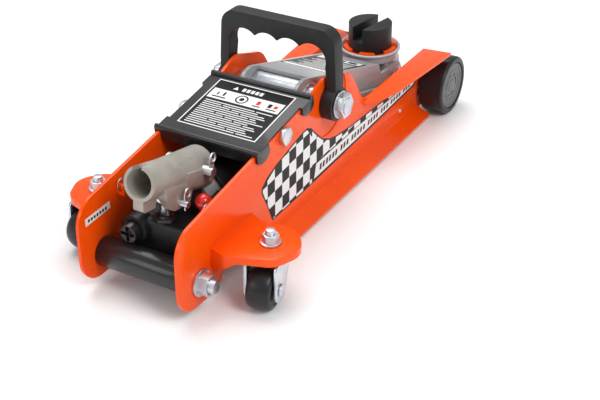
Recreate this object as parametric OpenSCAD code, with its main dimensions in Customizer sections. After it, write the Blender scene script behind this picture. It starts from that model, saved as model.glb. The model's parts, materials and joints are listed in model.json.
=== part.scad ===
// Low-profile hydraulic trolley jack: two folded side plates on four wheels, a channel lift arm,
// a hand-pumped power unit between the plates and a swivelling saddle on a levelling bracket.
// Frame: +X towards the saddle, +Z up, origin on the floor under the middle of the jack.

/* [Overall] */
// Length from the rear nose to the front of the front wheels
jack_len = 500; // [420:5:640]
// Clear width between the side plates
plate_gap = 94; // [90:1:124]
// Thickness of the side plates
sheet = 3; // [2.5:0.5:4]
// Height of the rear end of the side plates
nose_h = 86; // [80:1:100]
// Height of the carry handle above the floor
handle_top = 173; // [168:1:210]

/* [Front wheels] */
// Diameter of a front wheel
wheel_d = 62; // [50:1:74]
// Width of a front wheel
wheel_w = 26; // [18:1:34]
// Diameter of the front axle
axle_d = 14; // [10:1:18]

/* [Casters] */
// Diameter of a caster wheel
caster_d = 39; // [34:1:41]
// Width of a caster wheel
caster_w = 22; // [16:1:24]
// Distance of the caster's wheel axle behind its king pin
caster_trail = 16; // [12:1:17]
// Angle by which the casters are turned at rest
caster_turn = 10; // [0:1:30]
// Distance of the king pins behind the rear nose's line
kingpin_in = 79; // [74:1:90]
// Distance of a king pin outside the side plate
kingpin_out = 38; // [38:1:46]

/* [Lift arm] */
// Distance of the arm pivot from the rear nose
pivot_in = 246; // [240:1:270]
// Height of the arm pivot
pivot_h = 101; // [99:1:104]
// Outside width of the lift arm
arm_w = 60; // [54:1:64]
// Diameter of the pivot shaft
shaft_d = 20; // [17:1:22]
// Highest angle through which the arm lifts
lift_angle = 74; // [60:1:74]
// Radius of the crank that the ram pushes
crank_r = 46; // [42:1:47]

/* [Saddle] */
// Distance of the saddle's axis behind the front of the jack
saddle_in = 72; // [64:1:90]
// Height of the saddle dish's rim
saddle_h = 77; // [76:1:82]
// Diameter of the saddle dish
dish_d = 64; // [60:1:70]
// Diameter of the rubber pad
pad_d = 45; // [40:1:46]
// Height of the rubber pad above the dish's floor
pad_h = 32; // [24:0.5:40]
// Width of the slot in the pad
slot_w = 12; // [8:1:16]
// Depth of the slot in the pad
slot_depth = 14.5; // [8:1:20]
// Angle by which the saddle is turned at rest
saddle_turn = -10; // [-45:1:45]

/* [Power unit] */
// Diameter of the oil reservoir
reservoir_d = 46; // [40:1:50]
// Diameter of the ram
ram_d = 18; // [14:1:22]
// Diameter of the pump plunger
plunger_d = 10; // [8:1:12]

/* [Handle socket] */
// Bore of the socket that takes the lever
socket_bore = 24; // [20:0.5:25]
// Wall of the socket
socket_wall = 3; // [2:0.5:4]
// Length of the socket
socket_len = 84; // [76:1:90]
// Angle of the socket above level
socket_tilt = 15; // [10:1:20]

/* [Hidden] */

$fn = 64;
ORANGE = [0.95, 0.30, 0.04];
GREY = [0.52, 0.53, 0.53];
BLACK = [0.07, 0.07, 0.07];
ZINC = [0.74, 0.77, 0.80];
CAST = [0.62, 0.60, 0.56];
RED = [0.85, 0.06, 0.04];

// Clearances
run = 0.06;      // radial clearance of a shaft that turns in its hole
slip = 0.1;      // clearance of pieces that are bolted or pressed together
gap = 0.4;       // clearance of pieces that move past each other
eps = 0.01;

// The frame's anchors: distances from the rear nose and from the front of the wheels
rear = -jack_len / 2;
front = jack_len / 2;
plate_in = plate_gap / 2;
plate_out = plate_in + sheet;

// Rear tube and its tie bolt
tube_d = 27;
tube_x = rear + 30;
tube_z = 30;
tie_d = 12;
plate_bottom = 8.5;

// Front axle
axle_x = front - wheel_d / 2;
axle_z = wheel_d / 2;
wheel_in = plate_out + 3.5;
fender_z = wheel_d + 8;
fender_x = axle_x - 9;

// Arm pivot, crank and saddle pins, each as [x, z]
pivot = [rear + pivot_in, pivot_h];
saddle_x = front - saddle_in;
dish_floor = saddle_h - 7.5;
saddle_pin_at = [saddle_x + 2, saddle_h - 27];
crank_back = lift_angle / 2;
crank = pivot + crank_r * [-sin(crank_back), -cos(crank_back)];
link_offset = [14, -20];
frame_link_at = pivot + link_offset;
bracket_link_at = saddle_pin_at + link_offset;
arm_sheet = 3.5;
cheek_in = arm_w / 2 - arm_sheet;
bush_d = shaft_d + 7;
boss_r = 21;
saddle_pin_d = 12;
link_pin_d = 10;
crank_pin_d = 10;
link_w = 14;
link_t = 4;
link_y = arm_w / 2 + 2;

// Cover plate
cover_x0 = rear + 118;
cover_x1 = rear + 214;
cover_z0 = nose_h + 17;
cover_slope = 9;
cover_t = 2;
stay_at = [rear + 165, cover_z0];
stay_d = 14;

// Power unit
ram_z = pivot_h - crank_r * (1 + cos(crank_back)) / 2;
block_x0 = rear + 46;
block_x1 = rear + 114;
block_z0 = 14;
block_z1 = 62;
block_w = 62;
reservoir_x1 = block_x1 + 66;
cap_t = 9;
ram_stroke = 2 * crank_r * sin(crank_back);
yoke_slot = crank_r * (1 - cos(crank_back)) / 2 + crank_pin_d / 2 + 1;

// Handle socket and its pins, each as [x, z]
socket_r = socket_bore / 2 + socket_wall;
socket_pin_at = [rear + 92, 95];
plunger_x = rear + 56;
plunger_pin_at = [plunger_x, 82];
socket_pin_d = 9;
socket_axis_drop = 2;
socket_end = 13;

// Casters
kingpin_x = rear + kingpin_in;
kingpin_y = plate_out + kingpin_out;
kingpin_d = 8;
wing_z = caster_d + 11;
fork_gap = caster_w + 2;
fork_t = 2.5;
race_t = 4;
wing_r = 23;

// Carry handle
handle_t = 10;
handle_in = plate_out + 1.4;
handle_out = handle_in + handle_t;
handle_half = 7.5;
grip_h = 20;
handle_lean = 2.8;
eye_r = 16;
stud_d = 16;

// ---- helpers ----

// Points of an outline whose corners [x, y, radius] are rounded by arcs
function unit(v) = v / norm(v);
function turn_left(a, b) = a[0] * b[1] - a[1] * b[0];
function corner_arc(p, q, s, r, n = 8) =
    let(a = unit(p - q), b = unit(s - q), half = acos(a * b) / 2, reach = r / tan(half),
        centre = q + unit(a + b) * r / sin(half), from = q + a * reach - centre,
        to = q + b * reach - centre, a0 = atan2(from[1], from[0]), a1 = atan2(to[1], to[0]),
        sweep = ((a1 - a0) % 360 + 540) % 360 - 180)
    [for (i = [0:n]) centre + r * [cos(a0 + sweep * i / n), sin(a0 + sweep * i / n)]];
function flat2(c) = [c[0], c[1]];
function rounded(c) =
    let(n = len(c))
    [for (i = [0:n - 1])
        each (c[i][2] > 0
            ? corner_arc(flat2(c[(i + n - 1) % n]), flat2(c[i]), flat2(c[(i + 1) % n]), c[i][2])
            : [flat2(c[i])])];

// Moves the sides of an outline with corners [x, y, radius] inwards by e
function side_in(p, q, e) = let(d = unit(q - p), n = [-d[1], d[0]]) [p + n * e, d];
function inset_ccw(c, e) = let(n = len(c), r = inset([for (i = [0:n - 1]) c[n - 1 - i]], e)) [for (i = [0:n - 1]) r[n - 1 - i]];
function meet(a, b) = a[0] + a[1] * turn_left(b[0] - a[0], b[1]) / turn_left(a[1], b[1]);
function inset(c, e) =
    let(n = len(c))
    [for (i = [0:n - 1])
        let(p = flat2(c[(i + n - 1) % n]), q = flat2(c[i]), s = flat2(c[(i + 1) % n]),
            m = meet(side_in(p, q, e), side_in(q, s, e)),
            convex = turn_left(q - p, s - q) > 0)
        [m[0], m[1], max(0.6, c[i][2] + (convex ? -e : e))]];

// Raises an outline drawn in X and Z to the thickness t, from y outwards
module plate_at(y, t) {
    translate([0, y + t, 0]) rotate([90, 0, 0]) linear_extrude(t) children();
}

// A cylinder along Y whose axis passes through [x, z]
module rod_y(at, d, y0, y1, sides = 64) {
    translate([at[0], y0, at[1]]) rotate([-90, 0, 0]) cylinder(d = d, h = y1 - y0, $fn = sides);
}

// A cylinder along X whose axis passes through [y, z]
module rod_x(at, d, x0, x1, sides = 64) {
    translate([x0, at[0], at[1]]) rotate([0, 90, 0]) cylinder(d = d, h = x1 - x0, $fn = sides);
}

// A hexagon along Y of width af across its flats
module hex_y(at, af, y0, y1) {
    translate([at[0], y0, at[1]]) rotate([-90, 0, 0]) cylinder(d = af / cos(30), h = y1 - y0, $fn = 6);
}

module both_sides() {
    children();
    mirror([0, 1, 0]) children();
}

// ---- frame ----

function web_corners() = [
    [rear, plate_bottom, 24],
    [rear + 62, plate_bottom, 12],
    [rear + 66, 42, 8],
    [rear + 103, 42, 8],
    [rear + 113, plate_bottom, 8],
    [front - 15, plate_bottom, 15],
    [front - 15, axle_z + 18, 10],
    [fender_x, fender_z, 3],
    [pivot[0] + 72, fender_z, 24],
    [pivot[0] + 44, pivot_h + 11, 24],
    [pivot[0] - 3, pivot_h + 26.5, 22],
    [pivot[0] - 31, cover_z0 + 15.4, 8],
    [cover_x0, cover_z0, 4],
    [rear, nose_h - 1, 24]
];
function web_outline() = rounded(web_corners());

// Plan of the fender over a front wheel, on the left side
function fender_plan() = [
    [pivot[0] + 68, plate_out - sheet],
    [pivot[0] + 70, plate_out + 3],
    [pivot[0] + 88, plate_out + 12],
    [pivot[0] + 112, plate_out + 18],
    [fender_x - 45, plate_out + 23],
    [fender_x + 4, plate_out + wheel_w + 1],
    [fender_x, plate_out - sheet]
];

pivot_recess_r = 34;
pivot_recess = 1.2;
flange_x0 = rear + 120;
flange_out = 15;
flange_drop = 7;

// The left side plate: web, fender, bottom flange and the wing over the caster
module side_plate() {
    difference() {
        union() {
            plate_at(plate_in, sheet) difference() {
                polygon(web_outline());
                translate(pivot) circle(r = pivot_recess_r);
            }
            plate_at(plate_in - pivot_recess, sheet) intersection() {
                polygon(web_outline());
                translate(pivot) circle(r = pivot_recess_r + 0.6);
            }
            translate([0, 0, fender_z - sheet]) linear_extrude(sheet) polygon(fender_plan());
            bottom_flange();
            wing();
        }
        rod_y([tube_x, tube_z], tie_d + 0.6, plate_in - 2, plate_out + 2);
        rod_y(pivot, stud_d + 0.2, plate_in - 4, plate_out + 2);
        rod_y(stay_at, 10.4, plate_in - 2, plate_out + 2);
        rod_y([axle_x, axle_z], axle_d + 0.2, plate_in - 2, plate_out + 2);
        translate([kingpin_x, kingpin_y, wing_z - 2]) cylinder(d = kingpin_d + 0.3, h = sheet + 4);
    }
}

module bottom_flange() {
    length = axle_x - wheel_d / 2 + 5 - flange_x0;
    translate([flange_x0, 0, 0]) rotate([90, 0, 90]) linear_extrude(length)
        polygon([
            [plate_in, plate_bottom + 1],
            [plate_out, plate_bottom - 0.5],
            [plate_out + flange_out, plate_bottom - flange_drop],
            [plate_out + flange_out + 1, plate_bottom - flange_drop + sheet],
            [plate_out, plate_bottom + sheet + 1],
            [plate_in, plate_bottom + sheet + 1]
        ]);
}

// A lobe round the king pin, pressed with a turned-down lip all round
lip_h = 7;
function wing_corners() = [
    [kingpin_x - 30, plate_out - sheet - 2, 0.5],
    [kingpin_x - 36, plate_out + 14, 8],
    [kingpin_x - 22, kingpin_y + 17, 18],
    [kingpin_x + 6, kingpin_y + 28, 20],
    [kingpin_x + 28, kingpin_y + 10, 18],
    [kingpin_x + 27, plate_out + 10, 10],
    [kingpin_x + 36, plate_out - sheet - 2, 0.5]
];
module wing() {
    outer = [for (c = wing_corners()) c];
    intersection() {
        difference() {
            translate([0, 0, wing_z + sheet - lip_h]) linear_extrude(lip_h) polygon(rounded(outer));
            translate([0, 0, wing_z - lip_h]) linear_extrude(lip_h) polygon(rounded(inset_ccw(outer, sheet)));
        }
        translate([rear, plate_out - sheet, 0]) cube([200, 200, 100]);
    }
    intersection() {
        translate([0, 0, wing_z - 20]) linear_extrude(18) difference() {
            polygon(rounded(outer));
            polygon(rounded(inset_ccw(outer, sheet)));
        }
        translate([kingpin_x - 45, 0, 0]) rotate([90, 0, 90]) linear_extrude(27)
            polygon([[plate_in + 0.4, wing_z - 17], [plate_out + 4, wing_z - 17],
                     [plate_out + 26, wing_z - 3.6], [plate_out + 26, wing_z - 2.5], [plate_in + 0.4, wing_z - 2.5]]);
    }
}

// A small ear inside the plate that holds the rear end of the return spring
tab_at = [rear + 52, 79];
module spring_tabs() color(ORANGE) both_sides() difference() {
    translate([tab_at[0], plate_in - 8, tab_at[1] - 5]) cube([3, 8, 10]);
    rod_x([plate_in - 4.5, tab_at[1]], 3.4, tab_at[0] - 1, tab_at[0] + 4);
}

module side_plate_left() color(ORANGE) side_plate();
module side_plate_right() mirror([0, 1, 0]) side_plate_left();

module rear_tube() color(BLACK) difference() {
    rod_y([tube_x, tube_z], tube_d, -plate_in + slip, plate_in - slip);
    rod_y([tube_x, tube_z], tie_d + 1, -plate_in - 1, plate_in + 1);
}

module rear_tie_bolt() color(ZINC) {
    at = [tube_x, tube_z];
    rod_y(at, tie_d, -plate_out - 16, plate_out + 2.2);
    rod_y(at, 24, plate_out + 0.05, plate_out + 2.2);
    hex_y(at, 18, plate_out + 2.1, plate_out + 10);
}

module flange_nut_y(at, bore, af, flange, y, h) {
    difference() {
        union() {
            rod_y(at, flange, y, y + 2.5);
            hex_y(at, af, y + 2.4, y + h);
        }
        rod_y(at, bore, y - 1, y + h + 1);
    }
}

module rear_tie_nut() color(ZINC)
    mirror([0, 1, 0]) flange_nut_y([tube_x, tube_z], tie_d + slip, 17, 24, plate_out + 0.05, 11);

// The cover lies on the plates' sloping top edges, with a tab at each corner and a turned-down front
module cover_plate() {
    length = (cover_x1 - cover_x0) / cos(cover_slope);
    tab_l = 20;
    tab_h = 12;
    tab_t = 2.4;
    bead_r = 2.6;
    lip_half = plate_in - 0.5;
    color(BLACK) translate([cover_x0, 0, cover_z0 + 0.2]) rotate([0, -cover_slope, 0]) {
        translate([0, -plate_out + 0.5, 0]) cube([length, 2 * plate_out - 1, cover_t]);
        translate([0, -lip_half, -8]) cube([cover_t, 2 * lip_half, 9]);
        for (x = [bead_r, length - bead_r])
            rod_y([x, bead_r + 0.1], 2 * bead_r, -plate_out - tab_t - 0.2, plate_out + tab_t + 0.2);
        for (x = [0, length - tab_l]) both_sides() {
            translate([x, plate_out - 2, 0]) cube([tab_l, tab_t + 2.2, cover_t]);
            translate([x, plate_out + 0.2 + tab_t, cover_t]) rotate([90, 0, 0]) linear_extrude(tab_t)
                polygon([[0, 0], [tab_l, 0], [tab_l, -tab_h + 4], [tab_l - 6, -tab_h],
                         [6, -tab_h], [0, -tab_h + 4]]);
        }
    }
}

module stay_tube() color(BLACK) difference() {
    rod_y(stay_at, stay_d, -plate_in + slip, plate_in - slip);
    rod_y(stay_at, 9.9, -plate_in - 1, plate_in + 1);
}

module stay_bolts() color(ZINC) both_sides() {
    rod_y(stay_at, 9.8, plate_in - 18, plate_out + 1);
    hex_y(stay_at, 15, plate_out + 0.05, plate_out + 5);
}

// ---- power unit ----

mount_t = 9;
module unit_mount() color(BLACK) difference() {
    translate([stay_at[0] - mount_t / 2, 0, 0]) rotate([90, 0, 90]) linear_extrude(mount_t)
        polygon(rounded([
            [-reservoir_d / 2 - 5, ram_z - reservoir_d / 2 - 5, 12],
            [reservoir_d / 2 + 5, ram_z - reservoir_d / 2 - 5, 12],
            [reservoir_d / 2 + 5, ram_z + 14, 10],
            [12, stay_at[1] + stay_d / 2 - 6.5, 4],
            [-12, stay_at[1] + stay_d / 2 - 6.5, 4],
            [-reservoir_d / 2 - 5, ram_z + 14, 10]
        ]));
    rod_x([0, ram_z], reservoir_d + slip, stay_at[0] - mount_t, stay_at[0] + mount_t);
    rod_y(stay_at, stay_d + slip, -20, 20);
}

valve_y = 22;
valve_z = 53;
lug_w = 18;
lug_r = 8;
module pump_block() color(BLACK) difference() {
    union() {
        plate_at(-block_w / 2, block_w) polygon(rounded([
            [block_x0, block_z0, 6], [block_x1, block_z0, 4], [block_x1, block_z1 + 4, 3],
            [block_x1 - 34, block_z1, 3], [block_x0, block_z1, 4]
        ]));
        rod_x([valve_y, valve_z], 25, block_x0 - 6, block_x0 + 8);
        plate_at(-lug_w / 2, lug_w) polygon(rounded([
            [socket_pin_at[0] - lug_r, block_z1 - 4, 0], [socket_pin_at[0] + 15, block_z1 - 4, 0],
            [socket_pin_at[0] + lug_r, socket_pin_at[1] + lug_r, lug_r - 1],
            [socket_pin_at[0] - lug_r, socket_pin_at[1] + lug_r, lug_r - 1]
        ]));
    }
    rod_y(socket_pin_at, socket_pin_d + 2 * run, -30, 30);
    rod_x([0, ram_z], 33, block_x1 - 16, block_x1 + 2);
    rod_x([valve_y, valve_z], 17.4, block_x0 - 8, block_x0 + 1);
    rod_x([valve_y, valve_z], 8 + 2 * run, block_x0, block_x0 + 22);
    translate([plunger_x, 0, block_z1 - 42]) cylinder(d = plunger_d + 2 * run, h = 50);
    translate([plunger_x, 0, block_z1 - 10]) cylinder(d = 18 + 2 * slip, h = 20);
    translate([plug_at[0], plug_at[1], block_z1 - 8]) cylinder(d = 8.4, h = 20);
}

module reservoir_tube() color(BLACK) difference() {
    rod_x([0, ram_z], reservoir_d, block_x1 + eps, reservoir_x1);
    rod_x([0, ram_z], reservoir_d - 5, block_x1 - 1, reservoir_x1 + 1);
}

module cylinder_tube() color(GREY) difference() {
    rod_x([0, ram_z], 32.8, block_x1 - 15.9, reservoir_x1 - 0.05);
    rod_x([0, ram_z], 26, block_x1 - 12, reservoir_x1 + 1);
}

module end_cap() color(BLACK) difference() {
    union() {
        rod_x([0, ram_z], reservoir_d + 1, reservoir_x1 + 0.05, reservoir_x1 + cap_t, 8);
        rod_x([0, ram_z], 25.8, reservoir_x1 - 8, reservoir_x1 + 1);
    }
    rod_x([0, ram_z], ram_d + 2 * run, reservoir_x1 - 10, reservoir_x1 + cap_t + 1);
}

yoke_x0 = crank[0] - 17;
module ram() color(ZINC) {
    rod_x([0, ram_z], ram_d, block_x1 - 1.1, yoke_x0 + 6);
    rod_x([0, ram_z], 25.6, block_x1 - 11.5, block_x1 - 1);
}

// The yoke's upright slot gives the crank pin room for its arc
yoke_w = 34;
module ram_yoke() color(GREY) difference() {
    plate_at(-yoke_w / 2, yoke_w) polygon(rounded([
        [yoke_x0, ram_z - 14, 3], [crank[0] + 10, ram_z - 14, 4],
        [crank[0] + 10, ram_z + 14, 4], [yoke_x0, ram_z + 14, 3]
    ]));
    rod_x([0, ram_z], ram_d + 0.04, yoke_x0 - 1, yoke_x0 + 6.1);
    translate([crank[0] - crank_pin_d / 2 - 1.4, -yoke_w, ram_z - yoke_slot])
        cube([crank_pin_d + 2.8, 2 * yoke_w, 2 * yoke_slot]);
}

module release_valve() color(GREY) difference() {
    union() {
        rod_x([valve_y, valve_z], 8, block_x0 - 1, block_x0 + 20);
        rod_x([valve_y, valve_z], 16.6, block_x0 - 15, block_x0 - 0.4);
    }
    translate([block_x0 - 16, valve_y - 7, valve_z - 1.6]) cube([5, 14, 3.2]);
    translate([block_x0 - 16, valve_y - 1.6, valve_z - 7]) cube([5, 3.2, 14]);
}

plug_at = [rear + 76, -25];
plug_r = 7.5;
module oil_plug() color(RED) {
    translate([plug_at[0], plug_at[1], block_z1 + 13]) sphere(r = plug_r);
    translate([plug_at[0], plug_at[1], block_z1 - 7]) cylinder(d = 8.2, h = 16);
}

module pump_gland() color(ZINC) difference() {
    union() {
        translate([plunger_x, 0, block_z1 - 9.9]) cylinder(d = 18, h = 9.9);
        translate([plunger_x, 0, block_z1 + 0.05]) cylinder(d = 20 / cos(30), h = 4, $fn = 6);
    }
    translate([plunger_x, 0, block_z1 - 12]) cylinder(d = plunger_d + 2 * run, h = 20);
}

// The plunger's eye is a level slot, because its pin swings on an arc round the socket's pin
plunger_eye_w = 9;
pump_pin_d = 6;
module pump_plunger() color(ZINC) difference() {
    union() {
        translate([plunger_x, 0, block_z1 - 30]) cylinder(d = plunger_d, h = plunger_pin_at[1] - block_z1 + 26);
        plunger_eye(pump_pin_d / 2 + 2.6, plunger_eye_w / 2);
    }
    plunger_eye(pump_pin_d / 2 + 0.75, 20);
}

// A level slot of radius r that reaches from the pin's rearmost place to its foremost
module plunger_eye(r, half) {
    for (x = [-2.2, 4.6]) rod_y([plunger_x + x, plunger_pin_at[1]], 2 * r, -half, half);
    translate([plunger_x - 2.2, -half, plunger_pin_at[1] - r]) cube([6.8, 2 * half, 2 * r]);
}

// ---- handle socket ----

// Places children so that +X runs along the socket towards its mouth, from the pivot pin
module at_socket() {
    translate([socket_pin_at[0], 0, socket_pin_at[1] - socket_axis_drop])
        rotate([0, 180 + socket_tilt, 0]) mirror([0, 0, 1]) children();
}

// Height of the plunger pin's boss below the socket's axis
boss_w = 2 * socket_r + 2;
module handle_socket() {
    mouth = socket_len - socket_end;
    far = -socket_end;
    floor_z = -socket_r - 7;
    color(CAST) difference() {
        at_socket() difference() {
            union() {
                rod_x([0, 0], 2 * socket_r, 20, mouth);
                translate([far, 0, 0]) rotate([0, 90, 0])
                    cylinder(r1 = socket_side, r2 = socket_r, h = 52);
                translate([far, 0, 0]) intersection() {
                    rotate([0, 90, 0]) cylinder(r1 = socket_side + 3, r2 = socket_r + 4, h = 40);
                    translate([0, -socket_side, -socket_r - 4]) cube([40, 2 * socket_side, socket_r + 8]);
                }
                translate([0, -boss_w / 2, 0]) rotate([90, 0, 0]) mirror([0, 0, 1]) linear_extrude(boss_w)
                    polygon(rounded([[far + 26, -4, 0], [mouth - 16, -4, 0], [mouth - 19, -socket_r + 1, 6],
                                     [mouth - 30, floor_z - 4, 6], [far + 30, floor_z - 2, 6]]));
                translate([0, -5, 0]) rotate([90, 0, 0]) mirror([0, 0, 1]) linear_extrude(10)
                    polygon(rounded([[mouth - 24, -socket_r + 2, 0], [mouth - 1, -socket_r + 2, 0],
                                     [mouth - 3, -socket_r - 10, 4], [mouth - 22, -socket_r - 8, 3]]));
            }
            rod_x([0, 0], socket_bore, 14, mouth + 1);
            translate([far - 1, -lug_w / 2 - 1.5, -socket_r - 20]) cube([32, lug_w + 3, socket_r + 31]);
            translate([mouth - 9, -1, 0]) cube([20, 9, socket_r + 2]);
            translate([14, -plunger_eye_w / 2 - 2, floor_z - 8]) cube([37, plunger_eye_w + 4, 19]);
        }
        rod_y(socket_pin_at, socket_pin_d + slip, -40, 40);
        rod_y(plunger_pin_at, pump_pin_d + slip, -40, 40);
    }
}

socket_side = socket_r + 2.5;
module headed_pin(at, d, side, tail) {
    difference() {
        union() {
            rod_y(at, d, -side - tail, side + 0.1);
            rod_y(at, d + 5, side + 0.1, side + 3);
        }
        translate([at[0], -side - tail + 3.5, at[1] - d]) cylinder(d = clip_wire + 0.3, h = 2 * d, $fn = 24);
    }
}

clip_wire = 2;
module socket_pin() color(ZINC) headed_pin(socket_pin_at, socket_pin_d, socket_side, 8);
module plunger_pin() color(ZINC) headed_pin(plunger_pin_at, pump_pin_d, boss_w / 2, 8);

// A spring clip: a ring of wire and two legs, one of which passes through the pin
module spring_clip(at, d, side) {
    y = -side - 4.5;
    ring = 4;
    translate([at[0], y, at[1] - d]) cylinder(d = clip_wire, h = 2 * d + 1, $fn = 24);
    translate([at[0] + ring + 0.4, y, at[1] + d + 2]) rotate([90, 0, 0])
        rotate_extrude($fn = 32) translate([ring, 0]) circle(d = clip_wire, $fn = 16);
}
module socket_clips() color(ZINC) {
    spring_clip(socket_pin_at, socket_pin_d, socket_side);
    spring_clip(plunger_pin_at, pump_pin_d, boss_w / 2);
}

// ---- arm pivot and carry handle ----

nut_t = 7;
washer_t = 1.6;
module arm_pivot_shaft() color(ZINC) {
    rod_y(pivot, shaft_d, -plate_in + pivot_recess + slip, plate_in - pivot_recess - slip);
    rod_y(pivot, stud_d, -handle_out - washer_t - nut_t - 1, handle_out + washer_t + nut_t + 1);
}

module pivot_washers() color(ZINC) both_sides() difference() {
    rod_y(pivot, 26, handle_out + gap, handle_out + gap + washer_t);
    rod_y(pivot, stud_d + slip, handle_out, handle_out + 5);
}

module pivot_nuts() color(ZINC) both_sides() difference() {
    hex_y(pivot, 21, handle_out + gap + washer_t + 0.05, handle_out + washer_t + nut_t);
    rod_y(pivot, stud_d + slip, handle_out, handle_out + 30);
}

// A bail in one piece: two flat legs with eyes and a grip with finger hollows underneath
scallop_r = 15.5;
scallop_pitch = 23.5;
module carry_handle() {
    low = pivot_h + 24;
    top = handle_top;
    o = handle_out;
    i = handle_in;
    color(BLACK) difference() {
        union() {
            both_sides() {
                rod_y(pivot, 2 * eye_r, plate_out - 0.7, o);
                translate([pivot[0] - handle_half, i, pivot_h]) cube([2 * handle_half, handle_t, 24 + eps]);
            }
            translate([pivot[0] - handle_half, 0, 0]) rotate([90, 0, 90]) linear_extrude(2 * handle_half)
                polygon(rounded([
                    [-o, low, 0], [-o + handle_lean, top, 15], [o - handle_lean, top, 15], [o, low, 0],
                    [i, low, 0], [i - handle_lean, top - grip_h, 12],
                    [-i + handle_lean, top - grip_h, 12], [-i, low, 0]
                ]));
        }
        for (k = [-1.5:1:1.5])
            translate([pivot[0] - 20, k * scallop_pitch, top - grip_h - scallop_r + 4.6])
                rotate([0, 90, 0]) cylinder(r = scallop_r, h = 40);
        both_sides() rod_y(pivot, stud_d + 2 * run, plate_out - 2, o + 1);
    }
}

// ---- lift arm ----

arm_top0 = pivot + [-25, 26];
arm_top1 = [saddle_x - 38, saddle_h - 1];
function arm_outline() = rounded([
    [arm_top0[0], arm_top0[1], boss_r - 1],
    [arm_top1[0], arm_top1[1], 3],
    [arm_top1[0] + 6, saddle_h - 14.5, 4],
    [saddle_pin_at[0] + 13, saddle_pin_at[1] + 12, 12],
    [saddle_pin_at[0] + 13, saddle_pin_at[1] - 13, 9],
    [pivot[0] + 16, pivot_h - 30, 20],
    [crank[0] + 8, crank[1] - 14, 9],
    [crank[0] - 12, crank[1] - 7, 9]
]);

module lift_arm() {
    slope = atan2(arm_top1[1] - arm_top0[1], arm_top1[0] - arm_top0[0]);
    start = 30;
    length = norm(arm_top1 - arm_top0) - start;
    color(GREY) difference() {
        union() {
            both_sides() plate_at(cheek_in, arm_sheet) polygon(arm_outline());
            translate([arm_top0[0], 0, arm_top0[1]]) rotate([0, -slope, 0])
                translate([start, -cheek_in - 1, -arm_sheet - 0.2]) cube([length - 2, 2 * cheek_in + 2, arm_sheet]);
        }
        rod_y(pivot, bush_d + slip, -arm_w, arm_w);
        rod_y(saddle_pin_at, saddle_pin_d + slip, -arm_w, arm_w);
        rod_y(crank, crank_pin_d + slip, -arm_w, arm_w);
    }
}

module arm_bush() color(GREY) difference() {
    rod_y(pivot, bush_d, -arm_w / 2 - 1, arm_w / 2 + 1);
    rod_y(pivot, shaft_d + 2 * run, -arm_w, arm_w);
}

module crank_pin() color(ZINC) rod_y(crank, crank_pin_d, -arm_w / 2 - 8, arm_w / 2 + 8);

module saddle_pin() color(ZINC) {
    rod_y(saddle_pin_at, saddle_pin_d, -arm_w / 2 - 0.2, arm_w / 2 + 0.2);
    both_sides() rod_y(saddle_pin_at, saddle_pin_d + 4, arm_w / 2 + 0.1, arm_w / 2 + 1.6);
}

// ---- saddle ----

stem_d = 18;
bracket_half = cheek_in - 1;
module saddle_bracket() {
    b = bracket_link_at;
    s = saddle_pin_at;
    top = dish_floor - 3.5 - 0.5;
    color(GREY) difference() {
        union() {
            translate([saddle_x, 0, top - 7]) cylinder(d = 42, h = 7);
            both_sides() plate_at(bracket_half - 6, 6) polygon(rounded([
                [s[0] - 15, top, 2], [s[0] + 15, top, 2], [b[0] + 10, b[1] + 4, 8],
                [b[0] + 8, b[1] - 11, 8], [b[0] - 9, b[1] - 11, 7], [s[0] - 15, s[1] - 6, 8]
            ]));
            translate([s[0] - 12, -bracket_half, top - 6]) cube([24, 2 * bracket_half, 6]);
        }
        translate([saddle_x, 0, top - 20]) cylinder(d = stem_d + 2 * run, h = 40);
        rod_y(s, saddle_pin_d + 2 * run, -arm_w, arm_w);
        rod_y(b, link_pin_d + slip, -arm_w, arm_w);
    }
}

module bracket_link_pin() color(ZINC) {
    out = link_y + link_t + gap;
    rod_y(bracket_link_at, link_pin_d, -out, out);
    both_sides() rod_y(bracket_link_at, link_pin_d + 4, out - 0.1, out + 1.6);
}

module at_saddle() {
    translate([saddle_x, 0, 0]) rotate([0, 0, saddle_turn]) children();
}

dish_wall = 2.5;
module saddle_dish() color(GREY) at_saddle() {
    translate([0, 0, dish_floor - 9]) cylinder(d = stem_d, h = 7);
    difference() {
        union() {
            translate([0, 0, dish_floor - 3.5]) cylinder(d = dish_d - 4, h = saddle_h - dish_floor + 3.5);
            translate([0, 0, saddle_h - 3.5]) cylinder(d = dish_d, h = 3.5);
        }
        translate([0, 0, dish_floor]) cylinder(d = dish_d - 4 - 2 * dish_wall, h = 20);
    }
}

// A toothed steel ring that keys the load to the dish
ring_teeth = 6;
module saddle_ring() color(ORANGE) at_saddle() {
    outer = dish_d - 4 - 2 * dish_wall - 2 * slip;
    inner = pad_d + 2 * slip;
    low = saddle_h - dish_floor - 2.5;
    difference() {
        translate([0, 0, dish_floor + 0.02]) cylinder(d = outer, h = low + 3);
        translate([0, 0, dish_floor - 1]) cylinder(d = inner, h = 40);
        for (i = [0:ring_teeth - 1]) rotate([0, 0, i * 360 / ring_teeth])
            translate([0, -5.5, dish_floor + low]) cube([40, 11, 20]);
    }
}

module rubber_pad() color(BLACK) at_saddle() difference() {
    translate([0, 0, dish_floor + 0.02]) cylinder(d = pad_d, h = pad_h);
    translate([-50, -slot_w / 2, dish_floor + pad_h - slot_depth]) cube([100, slot_w, 40]);
}

// ---- levelling links ----

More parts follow.
